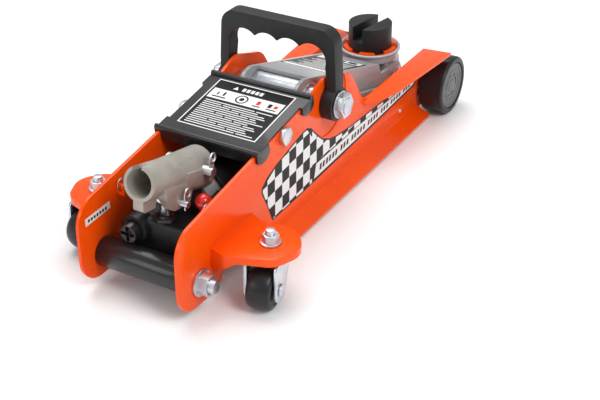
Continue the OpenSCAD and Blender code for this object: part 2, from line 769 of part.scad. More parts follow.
module levelling_link() {
    d = bracket_link_at - frame_link_at;
    angle = atan2(d[1], d[0]);
    color(GREY) plate_at(link_y, link_t) difference() {
        translate(frame_link_at) rotate(angle) polygon(rounded([
            [-link_w / 2, -link_w / 2, link_w / 2 - 0.3],
            [norm(d) + link_w / 2, -link_w / 2, link_w / 2 - 0.3],
            [norm(d) + link_w / 2, link_w / 2, link_w / 2 - 0.3],
            [-link_w / 2, link_w / 2, link_w / 2 - 0.3]
        ]));
        translate(frame_link_at) circle(d = link_pin_d + 2 * run);
        translate(bracket_link_at) circle(d = link_pin_d + 2 * run);
    }
}
module link_left() levelling_link();
module link_right() mirror([0, 1, 0]) levelling_link();

module frame_link_pins() color(ZINC) both_sides() {
    wall = plate_in - pivot_recess;
    rod_y(frame_link_at, link_pin_d, arm_w / 2 + 1.2, wall - 0.05);
    rod_y(frame_link_at, link_pin_d + 6, link_y + link_t + gap, wall - 0.05);
}

// ---- front wheels ----

wheel_out = wheel_in + wheel_w;
journal_d = 12;
module front_axle() color(ZINC) {
    rod_y([axle_x, axle_z], axle_d, -plate_out - 1, plate_out + 1);
    rod_y([axle_x, axle_z], journal_d, -wheel_out + 4.2, wheel_out - 4.2);
}

module front_wheel() color(BLACK) difference() {
    translate([axle_x, wheel_in, axle_z]) rotate([-90, 0, 0]) rotate_extrude($fn = 96) polygon([
        [journal_d / 2 + run, 0], [wheel_d / 2 - 2, 0], [wheel_d / 2, 2],
        [wheel_d / 2, wheel_w - 2], [wheel_d / 2 - 2, wheel_w], [wheel_d / 2 - 6, wheel_w],
        [wheel_d / 2 - 6, wheel_w - 4], [journal_d / 2 + run, wheel_w - 4]
    ]);
}
module front_wheel_left() front_wheel();
module front_wheel_right() mirror([0, 1, 0]) front_wheel();

module axle_washers() color(ZINC) both_sides() difference() {
    rod_y([axle_x, axle_z], 24, plate_out + 1.05, wheel_in - gap);
    rod_y([axle_x, axle_z], journal_d + slip, plate_out, wheel_in);
}

// A grey cap pressed into the wheel's outer face
module hub_cap() color(GREY)
    rod_y([axle_x, axle_z], wheel_d - 12 - 2 * slip, wheel_out - 3.95, wheel_out - 0.8);
module hub_cap_left() hub_cap();
module hub_cap_right() mirror([0, 1, 0]) hub_cap();

// ---- casters ----

caster_r = caster_d / 2;
fork_top = wing_z - race_t - 0.8;
// Places children at a king pin with +X trailing backwards
module at_caster() {
    translate([kingpin_x, kingpin_y, 0]) rotate([0, 0, 180 - caster_turn]) children();
}

module caster_fork() color(ZINC) at_caster() difference() {
    union() {
        translate([0, 0, fork_top - fork_t]) cylinder(r = fork_gap / 2 + fork_t, h = fork_t);
        translate([0, -fork_gap / 2 - fork_t, fork_top - fork_t])
            cube([caster_trail, fork_gap + 2 * fork_t, fork_t]);
        for (s = [-1, 1]) translate([0, s * (fork_gap + fork_t) / 2, 0]) fork_cheek();
    }
    rod_y([caster_trail, caster_r], 6.2, -30, 30);
    translate([0, 0, fork_top - 10]) cylinder(d = kingpin_d + 2 * run, h = 20);
}

module fork_cheek() plate_at(-fork_t / 2, fork_t) polygon(rounded([
    [-9, fork_top, 0], [caster_trail + 8, fork_top, 5], [caster_trail + 10, caster_r - 11, 9],
    [caster_trail - 10, caster_r - 11, 9]
]));

module caster_wheel() color(BLACK) at_caster() translate([caster_trail, -caster_w / 2, caster_r])
    rotate([-90, 0, 0]) rotate_extrude($fn = 72) polygon(concat(
        [[3.1 + run, 0], [caster_r - 4, 0]],
        [for (i = [0:8]) [caster_r - 3 + 3 * sin(i * 180 / 8), caster_w * (0.04 + 0.92 * i / 8)]],
        [[caster_r - 4, caster_w], [3.1 + run, caster_w]]));

module caster_rivet() color(ZINC) at_caster() {
    half = fork_gap / 2 + fork_t;
    rod_y([caster_trail, caster_r], 6.1, -half - 0.5, half + 0.5);
    for (s = [0, 1]) mirror([0, s, 0]) rod_y([caster_trail, caster_r], 11, half + 0.05, half + 1.8);
}

module caster_fork_left() caster_fork();
module caster_fork_right() mirror([0, 1, 0]) caster_fork();
module caster_wheel_left() caster_wheel();
module caster_wheel_right() mirror([0, 1, 0]) caster_wheel();
module caster_rivet_left() caster_rivet();
module caster_rivet_right() mirror([0, 1, 0]) caster_rivet();

module kingpins() color(ZINC) both_sides() translate([kingpin_x, kingpin_y, 0]) {
    translate([0, 0, fork_top - fork_t - 0.2 - 2]) cylinder(d = 18, h = 2);
    translate([0, 0, fork_top - fork_t - 2]) cylinder(d = kingpin_d, h = wing_z - fork_top + 21);
}

module kingpin_races() color(ZINC) both_sides() translate([kingpin_x, kingpin_y, fork_top + 0.2])
    difference() {
        cylinder(d = 26, h = race_t - 0.4);
        translate([0, 0, -1]) cylinder(d = kingpin_d + slip, h = 10);
    }

module kingpin_nuts() color(ZINC) both_sides() translate([kingpin_x, kingpin_y, wing_z + sheet + 0.05])
    difference() {
        union() {
            cylinder(d = 18, h = 2);
            cylinder(d = 13 / cos(30), h = 9, $fn = 6);
        }
        translate([0, 0, -1]) cylinder(d = kingpin_d + slip, h = 20);
    }

// ---- return springs ----

spring_d = 9;
spring_y = arm_w / 2 + 4.5;
module return_spring() {
    a = [tab_at[0] + 3.4, plate_in - 6.5, tab_at[1]];
    b = [crank[0] - crank_pin_d / 2 - 1.2, spring_y, crank[1]];
    d = b - a;
    length = norm(d);
    color(ZINC) translate(a) rotate([0, acos(d[2] / length), atan2(d[1], d[0])]) {
        translate([0, 0, 16]) cylinder(d = spring_d, h = length - 32, $fn = 32);
        cylinder(d = 1.8, h = 17, $fn = 16);
        translate([0, 0, length - 17]) cylinder(d = 1.8, h = 17, $fn = 16);
    }
}
module return_spring_left() return_spring();
module return_spring_right() mirror([0, 1, 0]) return_spring();

side_plate_right();
side_plate_left();
spring_tabs();
rear_tube();
rear_tie_bolt();
rear_tie_nut();
cover_plate();
stay_tube();
stay_bolts();
unit_mount();
pump_block();
reservoir_tube();
cylinder_tube();
end_cap();
ram();
ram_yoke();
release_valve();
oil_plug();
pump_plunger();
pump_gland();
handle_socket();
socket_pin();
plunger_pin();
socket_clips();
arm_pivot_shaft();
pivot_nuts();
pivot_washers();
carry_handle();
lift_arm();
arm_bush();
crank_pin();
saddle_bracket();
saddle_pin();
saddle_dish();
saddle_ring();
rubber_pad();
link_right();
link_left();
frame_link_pins();
bracket_link_pin();
front_axle();
front_wheel_right();
front_wheel_left();
axle_washers();
hub_cap_right();
hub_cap_left();
caster_fork_right();
caster_fork_left();
caster_wheel_right();
caster_wheel_left();
caster_rivet_right();
caster_rivet_left();
kingpins();
kingpin_nuts();
kingpin_races();
return_spring_right();
return_spring_left();
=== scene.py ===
"""Visual model of a low-profile hydraulic trolley jack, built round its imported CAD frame.

Every dimension is in metres, in the frame of the CAD model: +X towards the saddle, +Y to the
jack's left, +Z up, with the floor at Z = 0.
"""

import json
import logging
import math
from dataclasses import dataclass, field
from enum import Enum
from typing import Callable, Iterable, Sequence

import bmesh
import bpy
from mathutils import Matrix, Vector

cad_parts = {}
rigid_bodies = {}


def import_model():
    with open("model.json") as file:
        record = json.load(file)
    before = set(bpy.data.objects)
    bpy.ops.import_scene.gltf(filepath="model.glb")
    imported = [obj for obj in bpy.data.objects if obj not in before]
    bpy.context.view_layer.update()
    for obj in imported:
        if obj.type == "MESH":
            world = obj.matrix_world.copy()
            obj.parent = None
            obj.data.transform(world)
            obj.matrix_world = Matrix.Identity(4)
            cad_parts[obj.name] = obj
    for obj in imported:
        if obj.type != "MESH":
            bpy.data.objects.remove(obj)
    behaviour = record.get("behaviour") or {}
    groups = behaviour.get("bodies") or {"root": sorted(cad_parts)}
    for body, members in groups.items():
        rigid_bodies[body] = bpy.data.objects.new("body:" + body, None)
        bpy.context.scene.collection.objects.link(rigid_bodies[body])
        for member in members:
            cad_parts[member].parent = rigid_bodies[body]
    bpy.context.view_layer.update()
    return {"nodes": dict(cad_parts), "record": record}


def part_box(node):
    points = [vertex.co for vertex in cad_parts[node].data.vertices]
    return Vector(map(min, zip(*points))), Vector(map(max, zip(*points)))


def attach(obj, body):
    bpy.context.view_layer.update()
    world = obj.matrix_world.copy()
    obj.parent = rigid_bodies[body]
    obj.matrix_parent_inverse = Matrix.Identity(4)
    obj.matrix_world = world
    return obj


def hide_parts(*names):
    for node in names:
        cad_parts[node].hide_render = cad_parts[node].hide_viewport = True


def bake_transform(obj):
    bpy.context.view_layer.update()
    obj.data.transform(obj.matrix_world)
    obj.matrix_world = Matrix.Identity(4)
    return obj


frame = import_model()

logging.basicConfig(level=logging.INFO, format="%(levelname)s %(message)s")
LOG = logging.getLogger("jack")

Point2 = tuple[float, float]
Colour = tuple[float, float, float]

THREAD_PITCH = 0.0015
THREAD_DEPTH = 0.00045


# ---------------------------------------------------------------- shader maths

class Value:
    """A number that varies over a surface; Python operators on it add Math nodes."""

    def __init__(self, graph: "Graph", socket: bpy.types.NodeSocket) -> None:
        """Wraps an output socket of the graph."""
        self.graph = graph
        self.socket = socket

    def _with(self, operation: str, *values: "Value | float", clamp: bool = False) -> "Value":
        """Adds a Math node.

        Args:
            operation: The Math node's operation.
            values: Its inputs in order, as wrapped sockets or numbers.
            clamp: Whether the result is kept between 0 and 1.
        Returns:
            The node's result.
        """
        node = self.graph.tree.nodes.new("ShaderNodeMath")
        node.operation = operation
        node.use_clamp = clamp
        for index, value in enumerate(values):
            self.graph.feed(node.inputs[index], value)
        return Value(self.graph, node.outputs[0])

    def __add__(self, other: "Value | float") -> "Value":
        """self + other."""
        return self._with("ADD", self, other)

    def __radd__(self, other: "Value | float") -> "Value":
        """other + self."""
        return self._with("ADD", other, self)

    def __sub__(self, other: "Value | float") -> "Value":
        """self - other."""
        return self._with("SUBTRACT", self, other)

    def __rsub__(self, other: "Value | float") -> "Value":
        """other - self."""
        return self._with("SUBTRACT", other, self)

    def __mul__(self, other: "Value | float") -> "Value":
        """self * other."""
        return self._with("MULTIPLY", self, other)

    def __rmul__(self, other: "Value | float") -> "Value":
        """other * self."""
        return self._with("MULTIPLY", other, self)

    def __truediv__(self, other: "Value | float") -> "Value":
        """self / other."""
        return self._with("DIVIDE", self, other)

    def __gt__(self, other: "Value | float") -> "Value":
        """1 where self is greater than other, else 0."""
        return self._with("GREATER_THAN", self, other)

    def __lt__(self, other: "Value | float") -> "Value":
        """1 where self is less than other, else 0."""
        return self._with("LESS_THAN", self, other)

    def clamped(self) -> "Value":
        """Self kept between 0 and 1."""
        return self._with("ADD", self, 0.0, clamp=True)


class Graph:
    """The node tree of one material, with short ways to add nodes and link them."""

    def __init__(self, name: str) -> None:
        """Makes an empty material of that name with a Principled BSDF on its output."""
        self.material = bpy.data.materials.new(name)
        self.material.use_nodes = True
        self.tree = self.material.node_tree
        self.tree.nodes.clear()
        self.output = self.tree.nodes.new("ShaderNodeOutputMaterial")
        self.shader = self.tree.nodes.new("ShaderNodeBsdfPrincipled")
        self.tree.links.new(self.shader.outputs[0], self.output.inputs["Surface"])
        self._place: bpy.types.NodeSocket | None = None

    def feed(self, socket: bpy.types.NodeSocket, value: object) -> None:
        """Links a value to a socket, or sets a constant on it.

        Args:
            socket: The input socket.
            value: A Value, an output socket, a number or a sequence of numbers.
        """
        if isinstance(value, Value):
            value = value.socket
        if isinstance(value, bpy.types.NodeSocket):
            self.tree.links.new(value, socket)
        else:
            socket.default_value = value

    def node(self, kind: str, settings: dict | None = None, **inputs: object) -> bpy.types.Node:
        """Adds any node.

        Args:
            kind: The node's type name after "ShaderNode".
            settings: Its own settings, and under "stops" a ramp's (position, colour) pairs.
            inputs: Values or links of its sockets, with blanks in names as underscores.
        Returns:
            The node.
        """
        node = self.tree.nodes.new("ShaderNode" + kind)
        for key, value in (settings or {}).items():
            if key == "stops":
                ramp = node.color_ramp
                while len(ramp.elements) < len(value):
                    ramp.elements.new(1.0)
                for element, (position, colour) in zip(ramp.elements, value):
                    element.position = position
                    element.color = colour
            else:
                setattr(node, key, value)
        for key, value in inputs.items():
            self.feed(node.inputs[key.replace("_", " ")], value)
        return node

    def place(self, scale: Sequence[float] = (1, 1, 1), turn: Sequence[float] = (0, 0, 0),
              shift: Sequence[float] = (0, 0, 0)) -> bpy.types.NodeSocket:
        """Object coordinates through a Mapping node.

        Args:
            scale: Scale of each axis.
            turn: Euler turn in radians.
            shift: Shift in metres, before the turn is taken off.
        Returns:
            The mapped vector.
        """
        if self._place is None:
            self._place = self.node("TexCoord").outputs["Object"]
        return self.node("Mapping", {"vector_type": "POINT"}, Vector=self._place, Scale=scale,
                         Rotation=turn, Location=shift).outputs[0]

    def noise(self, scale: float, detail: float = 3.0, rough: float = 0.5,
              stretch: Sequence[float] = (1, 1, 1)) -> Value:
        """Fractal noise of a size given in cells per metre, from 0 to 1."""
        node = self.node("TexNoise", Vector=self.place(scale=stretch), Scale=scale, Detail=detail,
                         Roughness=rough)
        return Value(self, node.outputs["Fac"])

    def step(self, value: Value, low: float, high: float) -> Value:
        """0 below low, 1 above high and a smooth rise between."""
        node = self.node("MapRange", {"interpolation_type": "SMOOTHSTEP"}, Value=value)
        self.feed(node.inputs["From Min"], low)
        self.feed(node.inputs["From Max"], high)
        return Value(self, node.outputs["Result"])

    def mix(self, factor: Value, a: object, b: object) -> bpy.types.NodeSocket:
        """A colour that goes from a to b as factor goes from 0 to 1."""
        node = self.node("Mix", {"data_type": "RGBA"})
        self.feed(node.inputs[0], factor)
        for socket, colour in ((node.inputs[6], a), (node.inputs[7], b)):
            self.feed(socket, (*colour, 1.0) if isinstance(colour, tuple) else colour)
        return node.outputs[2]

    def bump(self, *layers: tuple[Value, float]) -> None:
        """Gives the shader relief.

        Args:
            layers: Heights from 0 to 1, each with its depth in metres.
        """
        normal: object = None
        for height, depth in layers:
            node = self.node("Bump", Height=height)
            node.inputs["Distance"].default_value = depth
            node.inputs["Strength"].default_value = 1.0
            if normal is not None:
                self.feed(node.inputs["Normal"], normal)
            normal = node.outputs[0]
        self.feed(self.shader.inputs["Normal"], normal)

    def surface(self, **inputs: object) -> None:
        """Sets sockets of the Principled BSDF; colours are triples or links."""
        for key, value in inputs.items():
            if isinstance(value, tuple) and len(value) == 3:
                value = (*value, 1.0)
            self.feed(self.shader.inputs[key.replace("_", " ")], value)


# ---------------------------------------------------------------- finishes

@dataclass(frozen=True)
class Finish:
    """A surface finish, named for the piece that wears it."""

    name: str
    slot: str

    def material(self) -> bpy.types.Material:
        """The finish's material, made once."""
        return bpy.data.materials.get(self.name) or self.make()

    def make(self) -> bpy.types.Material:
        """Builds the material."""
        raise NotImplementedError


@dataclass(frozen=True)
class Enamel(Finish):
    """Sprayed or powder-coated paint with orange peel, dust nibs and fine rubbing marks."""

    colour: Colour = (0.8, 0.8, 0.8)
    shade: Colour = (0.6, 0.6, 0.6)
    rough: float = 0.25
    coat: float = 0.5
    peel: float = 0.00003
    grain: float = 700.0
    sheen: float = 0.5

    def make(self) -> bpy.types.Material:
        """Builds the material."""
        g = Graph(self.name)
        cloud = g.step(g.noise(14.0, 4.0), 0.3, 0.7)
        specks = g.step(g.noise(1800.0, 2.0), 0.70, 0.78)
        rub = g.step(g.noise(90.0, 5.0, 0.7, (1, 1, 6)), 0.58, 0.72)
        base = g.mix(cloud * 0.55 + specks * 0.25, self.colour, self.shade)
        g.surface(Base_Color=base, Roughness=self.rough + cloud * 0.05 + rub * 0.10,
                  Coat_Weight=self.coat, Coat_Roughness=0.06, Specular_IOR_Level=self.sheen)
        g.bump((g.noise(self.grain, 2.0), self.peel), (g.noise(45.0, 2.0), self.peel * 2.0))
        return g.material


@dataclass(frozen=True)
class Plated(Finish):
    """Zinc or chrome plating with drawn marks, a faint iridescence and dull patches."""

    colour: Colour = (0.66, 0.68, 0.71)
    tint: Colour = (0.55, 0.60, 0.70)
    rough: float = 0.26

    def make(self) -> bpy.types.Material:
        """Builds the material."""
        g = Graph(self.name)
        cloud = g.step(g.noise(120.0, 4.0), 0.35, 0.7)
        warm = g.step(g.noise(60.0, 2.0), 0.5, 0.8)
        drawn = g.noise(900.0, 3.0, 0.6, (1, 0.12, 1))
        base = g.mix(warm * 0.35, g.mix(cloud * 0.8, self.colour, self.tint), (0.72, 0.66, 0.50))
        g.surface(Base_Color=base, Metallic=1.0, Roughness=self.rough + cloud * 0.12 + drawn * 0.08)
        g.bump((drawn, 0.00002), (g.noise(300.0), 0.00002))
        return g.material


@dataclass(frozen=True)
class Cast(Finish):
    """A coated iron casting with sand grain, pits and worn high spots."""

    colour: Colour = (0.5, 0.48, 0.44)
    dark: Colour = (0.32, 0.30, 0.27)
    rough: float = 0.42
    metal: float = 0.35

    def make(self) -> bpy.types.Material:
        """Builds the material."""
        g = Graph(self.name)
        sand = g.noise(520.0, 4.0, 0.65)
        cloud = g.step(g.noise(60.0, 4.0), 0.35, 0.7)
        pits = g.step(g.noise(260.0, 3.0), 0.66, 0.74)
        base = g.mix((cloud * 0.6 + pits * 0.5).clamped(), self.colour, self.dark)
        g.surface(Base_Color=base, Metallic=self.metal, Roughness=self.rough + sand * 0.15,
                  Specular_IOR_Level=0.35)
        g.bump((sand, 0.00022), (g.noise(110.0, 3.0), 0.0003), (1.0 - pits, 0.00015))
        return g.material


@dataclass(frozen=True)
class Moulded(Finish):
    """Moulded plastic or rubber with a fine eroded grain and scuffs."""

    colour: Colour = (0.04, 0.04, 0.04)
    scuff: Colour = (0.09, 0.09, 0.09)
    rough: float = 0.5
    grain: float = 0.00006
    sheen: float = 0.4

    def make(self) -> bpy.types.Material:
        """Builds the material."""
        g = Graph(self.name)
        grain = g.noise(1400.0, 3.0, 0.6)
        worn = g.step(g.noise(70.0, 5.0, 0.65), 0.5, 0.8)
        g.surface(Base_Color=g.mix(worn * 0.7, self.colour, self.scuff),
                  Roughness=self.rough + grain * 0.12 + worn * 0.06, Specular_IOR_Level=self.sheen)
        g.bump((grain, self.grain), (g.noise(180.0, 2.0), self.grain))
        return g.material


@dataclass(frozen=True)
class PrintedFilm(Finish):
    """A printed film in one flat ink, with slight print mottle and edge scuffs."""

    colour: Colour = (0.8, 0.8, 0.8)
    rough: float = 0.32

    def make(self) -> bpy.types.Material:
        """Builds the material."""
        g = Graph(self.name)
        mottle = g.noise(1100.0, 2.0)
        scuff = g.step(g.noise(150.0, 5.0, 0.7), 0.62, 0.75)
        pale = tuple(min(1.0, c * 0.9 + 0.03) for c in self.colour)
        g.surface(Base_Color=g.mix(scuff * 0.5 + mottle * 0.12, self.colour, pale),
                  Roughness=self.rough + scuff * 0.15, Specular_IOR_Level=0.15)
        g.bump((mottle, 0.00001))
        return g.material


@dataclass(frozen=True)
class Floor(Finish):
    """The pale studio floor."""

    def make(self) -> bpy.types.Material:
        """Builds the material."""
        g = Graph(self.name)
        g.surface(Base_Color=g.mix(g.noise(3.0), (0.94, 0.94, 0.94), (0.93, 0.93, 0.93)), Roughness=0.55)
        return g.material


ORANGE = Enamel("orange_powder_coat", "side_plate", (0.92, 0.084, 0.001), (0.82, 0.066, 0.001), 0.22, 0.14,
    0.00003, 700.0, 0.20)
BLACK = Enamel("satin_black_enamel", "black_paint", (0.010, 0.010, 0.011), (0.018, 0.018, 0.020), 0.30, 0.3,
               0.00005, 420.0, 0.35)
ARM_GREY = Enamel("silver_grey_paint", "grey_paint", (0.36, 0.37, 0.38), (0.28, 0.29, 0.30), 0.30, 0.3)
CUP_GREY = Enamel("saddle_grey_paint", "grey_paint", (0.44, 0.45, 0.46), (0.34, 0.35, 0.36), 0.32, 0.3)
ZINC = Plated("zinc_plating", "zinc")
RAM_CHROME = Plated("ram_chrome", "ram_steel", (0.75, 0.76, 0.78), (0.68, 0.70, 0.74), 0.14)
SPRING_WIRE = Plated("drawn_spring_wire", "spring_steel", (0.52, 0.52, 0.52), (0.40, 0.40, 0.42), 0.34)
SOCKET_CAST = Cast("socket_casting", "socket_cast", (0.40, 0.375, 0.33), (0.29, 0.27, 0.235))
BLOCK_CAST = Cast("pump_casting", "black_paint", (0.016, 0.016, 0.017), (0.007, 0.007, 0.008), 0.34, 0.1)
GRIP = Moulded("carry_handle_plastic", "handle_plastic", (0.010, 0.011, 0.012), (0.022, 0.023, 0.025), 0.42)
TREAD = Moulded("wheel_tread", "wheel_black", (0.008, 0.008, 0.009), (0.018, 0.018, 0.019), 0.30)
HUB = Moulded("wheel_hub", "hub_grey", (0.12, 0.12, 0.124), (0.17, 0.17, 0.175), 0.36)
PAD = Moulded("saddle_rubber", "pad_rubber", (0.006, 0.006, 0.007), (0.016, 0.016, 0.017), 0.40, 0.0001)
PLUG = Enamel("red_plug_gloss", "plug_red", (0.70, 0.012, 0.010), (0.55, 0.008, 0.008), 0.16, 0.8)
INK_BLACK = PrintedFilm("film_black", "side_plate", (0.004, 0.004, 0.0045))
INK_WHITE = PrintedFilm("film_white", "side_plate", (0.80, 0.80, 0.80))
INK_RED = PrintedFilm("film_red", "side_plate", (0.62, 0.03, 0.02))


# ---------------------------------------------------------------- workshop

class Body(Enum):
    """The rigid bodies of the jack that pieces ride on."""

    FRAME = "frame"
    BAIL = "carry_bail"
    ARM = "arm"
    BRACKET = "bracket"
    LINKS = "links"
    RAM = "ram_assembly"
    SADDLE = "saddle"
    PAD = "pad"
    VALVE = "valve"
    SOCKET = "lever_socket"
    PLUNGER = "plunger"


NODE_BODY = {node: body for body, nodes in frame["record"]["behaviour"]["bodies"].items() for node in nodes}


def link(name: str, bm: bmesh.types.BMesh, finishes: Sequence[Finish],
         smooth_deg: float = 32.0) -> bpy.types.Object:
    """Turns a bmesh into an object in the scene.

    Args:
        name: The object's name.
        bm: The mesh, which is freed.
        finishes: Finishes in order of material index.
        smooth_deg: Edges sharper than this stay sharp.
    Returns:
        The new object.
    """
    mesh = bpy.data.meshes.new(name)
    bm.to_mesh(mesh)
    bm.free()
    for finish in finishes:
        mesh.materials.append(finish.material())
    mesh.shade_smooth()
    mesh.set_sharp_from_angle(angle=math.radians(smooth_deg))
    obj = bpy.data.objects.new(name, mesh)
    bpy.context.scene.collection.objects.link(obj)
    return obj


def settle(obj: bpy.types.Object, body: str, nodes: Iterable[str] = ()) -> bpy.types.Object:
    """Says which body a piece rides on and the CAD nodes it stands for."""
    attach(obj, body)
    nodes = list(nodes)
    if nodes:
        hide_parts(*nodes)
    LOG.info("%s rides on %s, %d faces", obj.name, body, len(obj.data.polygons))
    return obj


def eased(node: str, finish: Finish, width: float, segments: int = 2, angle: float = 33.0,
          bends: Sequence[tuple[Callable[[Vector], bool], float, int]] = ()) -> bpy.types.Object:
    """A copy of a CAD node with its sharp edges rounded, which stands for the node.

    Args:
        node: The CAD node.
        finish: Its finish.
        width: Width of the rounding in metres.
        segments: Faces across the rounding.
        angle: Edges sharper than this are rounded, in degrees.
        bends: Wider roundings made first, each as a test of an edge's two ends, a width and
            a number of faces.
    Returns:
        The piece.
    """
    bm = bmesh.new()
    bm.from_mesh(frame["nodes"][node].data)
    bmesh.ops.remove_doubles(bm, verts=bm.verts, dist=2e-6)
    bmesh.ops.dissolve_limit(bm, angle_limit=math.radians(1.0), verts=bm.verts, edges=bm.edges)
    limit = math.radians(angle)
    for chosen, bend, faces in bends:
        picked = [e for e in bm.edges if len(e.link_faces) == 2 and e.calc_face_angle(0.0) > 0.35
                  and all(chosen(v.co) for v in e.verts)]
        if picked:
            bmesh.ops.bevel(bm, geom=picked, offset=bend, segments=faces, profile=0.5,
                            affect="EDGES", clamp_overlap=True)
    edges = [e for e in bm.edges if len(e.link_faces) == 2 and e.calc_face_angle(0.0) > limit]
    if width > 0 and edges:
        bmesh.ops.bevel(bm, geom=edges, offset=width, segments=segments, profile=0.5,
                        affect="EDGES", clamp_overlap=True)
    piece = link(node + "_eased", bm, [finish])
    return settle(piece, NODE_BODY[node], [node])


def lathe(bm: bmesh.types.BMesh, profile: Sequence[Point2], place: Matrix, sides: int = 64,
          index: int = 0) -> None:
    """Adds a closed ring of revolution.

    Args:
        bm: The mesh to add to.
        profile: (radius, height) points; the loop closes, or meets the axis at both ends.
        place: Takes the axis +Z to its place.
        sides: Number of steps round the axis.
        index: Material index of the faces.
    """
    rings = []
    for radius, height in profile:
        if radius < 1e-7:
            rings.append([bm.verts.new(place @ Vector((0, 0, height)))])
            continue
        rings.append([bm.verts.new(place @ Vector((radius * math.cos(2 * math.pi * k / sides),
                                                   radius * math.sin(2 * math.pi * k / sides), height)))
                      for k in range(sides)])
    pairs = list(zip(rings, rings[1:]))
    if len(rings[0]) > 1 and len(rings[-1]) > 1:
        pairs.append((rings[-1], rings[0]))
    for low, high in pairs:
        for k in range(sides):
            j = (k + 1) % sides
            corners = [low[k % len(low)], low[j % len(low)], high[j % len(high)], high[k % len(high)]]
            unique = list(dict.fromkeys(corners))
            if len(unique) > 2:
                bm.faces.new(unique).material_index = index
    bmesh.ops.recalc_face_normals(bm, faces=bm.faces)


def prism(bm: bmesh.types.BMesh, outline: Sequence[Point2], place: Matrix, height: float,
          index: int = 0) -> None:
    """Adds a flat plate: an outline in its own XY raised along its Z.

    Args:
        bm: The mesh to add to.
        outline: Corners in order.
        place: Takes the plate to its place.
        height: Its thickness.
        index: Material index of the faces.
    """
    low = [bm.verts.new(place @ Vector((x, y, 0))) for x, y in outline]
    high = [bm.verts.new(place @ Vector((x, y, height))) for x, y in outline]
    faces = [bm.faces.new(list(reversed(low))), bm.faces.new(high)]
    count = len(outline)
    for k in range(count):
        j = (k + 1) % count
        faces.append(bm.faces.new([low[k], low[j], high[j], high[k]]))
    for face in faces:
        face.material_index = index
    bmesh.ops.recalc_face_normals(bm, faces=faces)


def wire(bm: bmesh.types.BMesh, points: Sequence[Sequence[float]], radius: float, sides: int = 10) -> None:
    """Adds a round wire along points, closed at both ends.

    Args:
        bm: The mesh to add to.
        points: The wire's middle line.
        radius: Its radius.
        sides: Number of faces round it.
    """
    line = [Vector(p) for p in points]
    rings = []
    across = None
    for k, point in enumerate(line):
        along = (line[min(k + 1, len(line) - 1)] - line[max(k - 1, 0)]).normalized()
        if across is None:
            across = along.orthogonal().normalized()
        across = (across - along * across.dot(along)).normalized()
        other = along.cross(across)
        rings.append([bm.verts.new(point + (across * math.cos(2 * math.pi * j / sides)
                                            + other * math.sin(2 * math.pi * j / sides)) * radius)
                      for j in range(sides)])
    faces = [bm.faces.new(list(reversed(rings[0]))), bm.faces.new(rings[-1])]
    for low, high in zip(rings, rings[1:]):
        for j in range(sides):
            i = (j + 1) % sides
            faces.append(bm.faces.new([low[j], low[i], high[i], high[j]]))
    bmesh.ops.recalc_face_normals(bm, faces=faces)


def axis_to(origin: Sequence[float], along: Sequence[float], across: Sequence[float] = (0, 0, 1)) -> Matrix:
    """A placement whose +Z runs along a direction and whose +X is near another."""
    z = Vector(along).normalized()
    x = Vector(across) - z * Vector(across).dot(z)
    if x.length < 1e-6:
        x = Vector((1, 0, 0)) - z * z.x
    x.normalize()
    y = z.cross(x)
    return Matrix((( x.x, y.x, z.x, origin[0]), (x.y, y.y, z.y, origin[1]),
                   (x.z, y.z, z.z, origin[2]), (0, 0, 0, 1)))


def rect(x0: float, y0: float, x1: float, y1: float) -> list[Point2]:
    """The corners of a rectangle."""
    return [(x0, y0), (x1, y0), (x1, y1), (x0, y1)]


def clipped(outline: Sequence[Point2], window: Sequence[Point2]) -> list[Point2]:
    """The part of an outline inside a convex window, by Sutherland and Hodgman's method.

    Args:
        outline: The outline to cut.
        window: A convex outline, counter-clockwise.
    Returns:
        The corners that remain, possibly none.
    """
    result = list(outline)
    for a, b in zip(window, list(window[1:]) + [window[0]]):
        def side(p: Point2) -> float:
            """Positive on the window's inner side of this edge."""
            return (b[0] - a[0]) * (p[1] - a[1]) - (b[1] - a[1]) * (p[0] - a[0])
        cut: list[Point2] = []
        for p, q in zip(result, result[1:] + result[:1]):
            sp, sq = side(p), side(q)
            if sp >= 0:
                cut.append(p)
            if (sp >= 0) != (sq >= 0):
                t = sp / (sp - sq)
                cut.append((p[0] + (q[0] - p[0]) * t, p[1] + (q[1] - p[1]) * t))
        result = cut
        if not result:
            break
    return result


# ---------------------------------------------------------------- geometry nodes

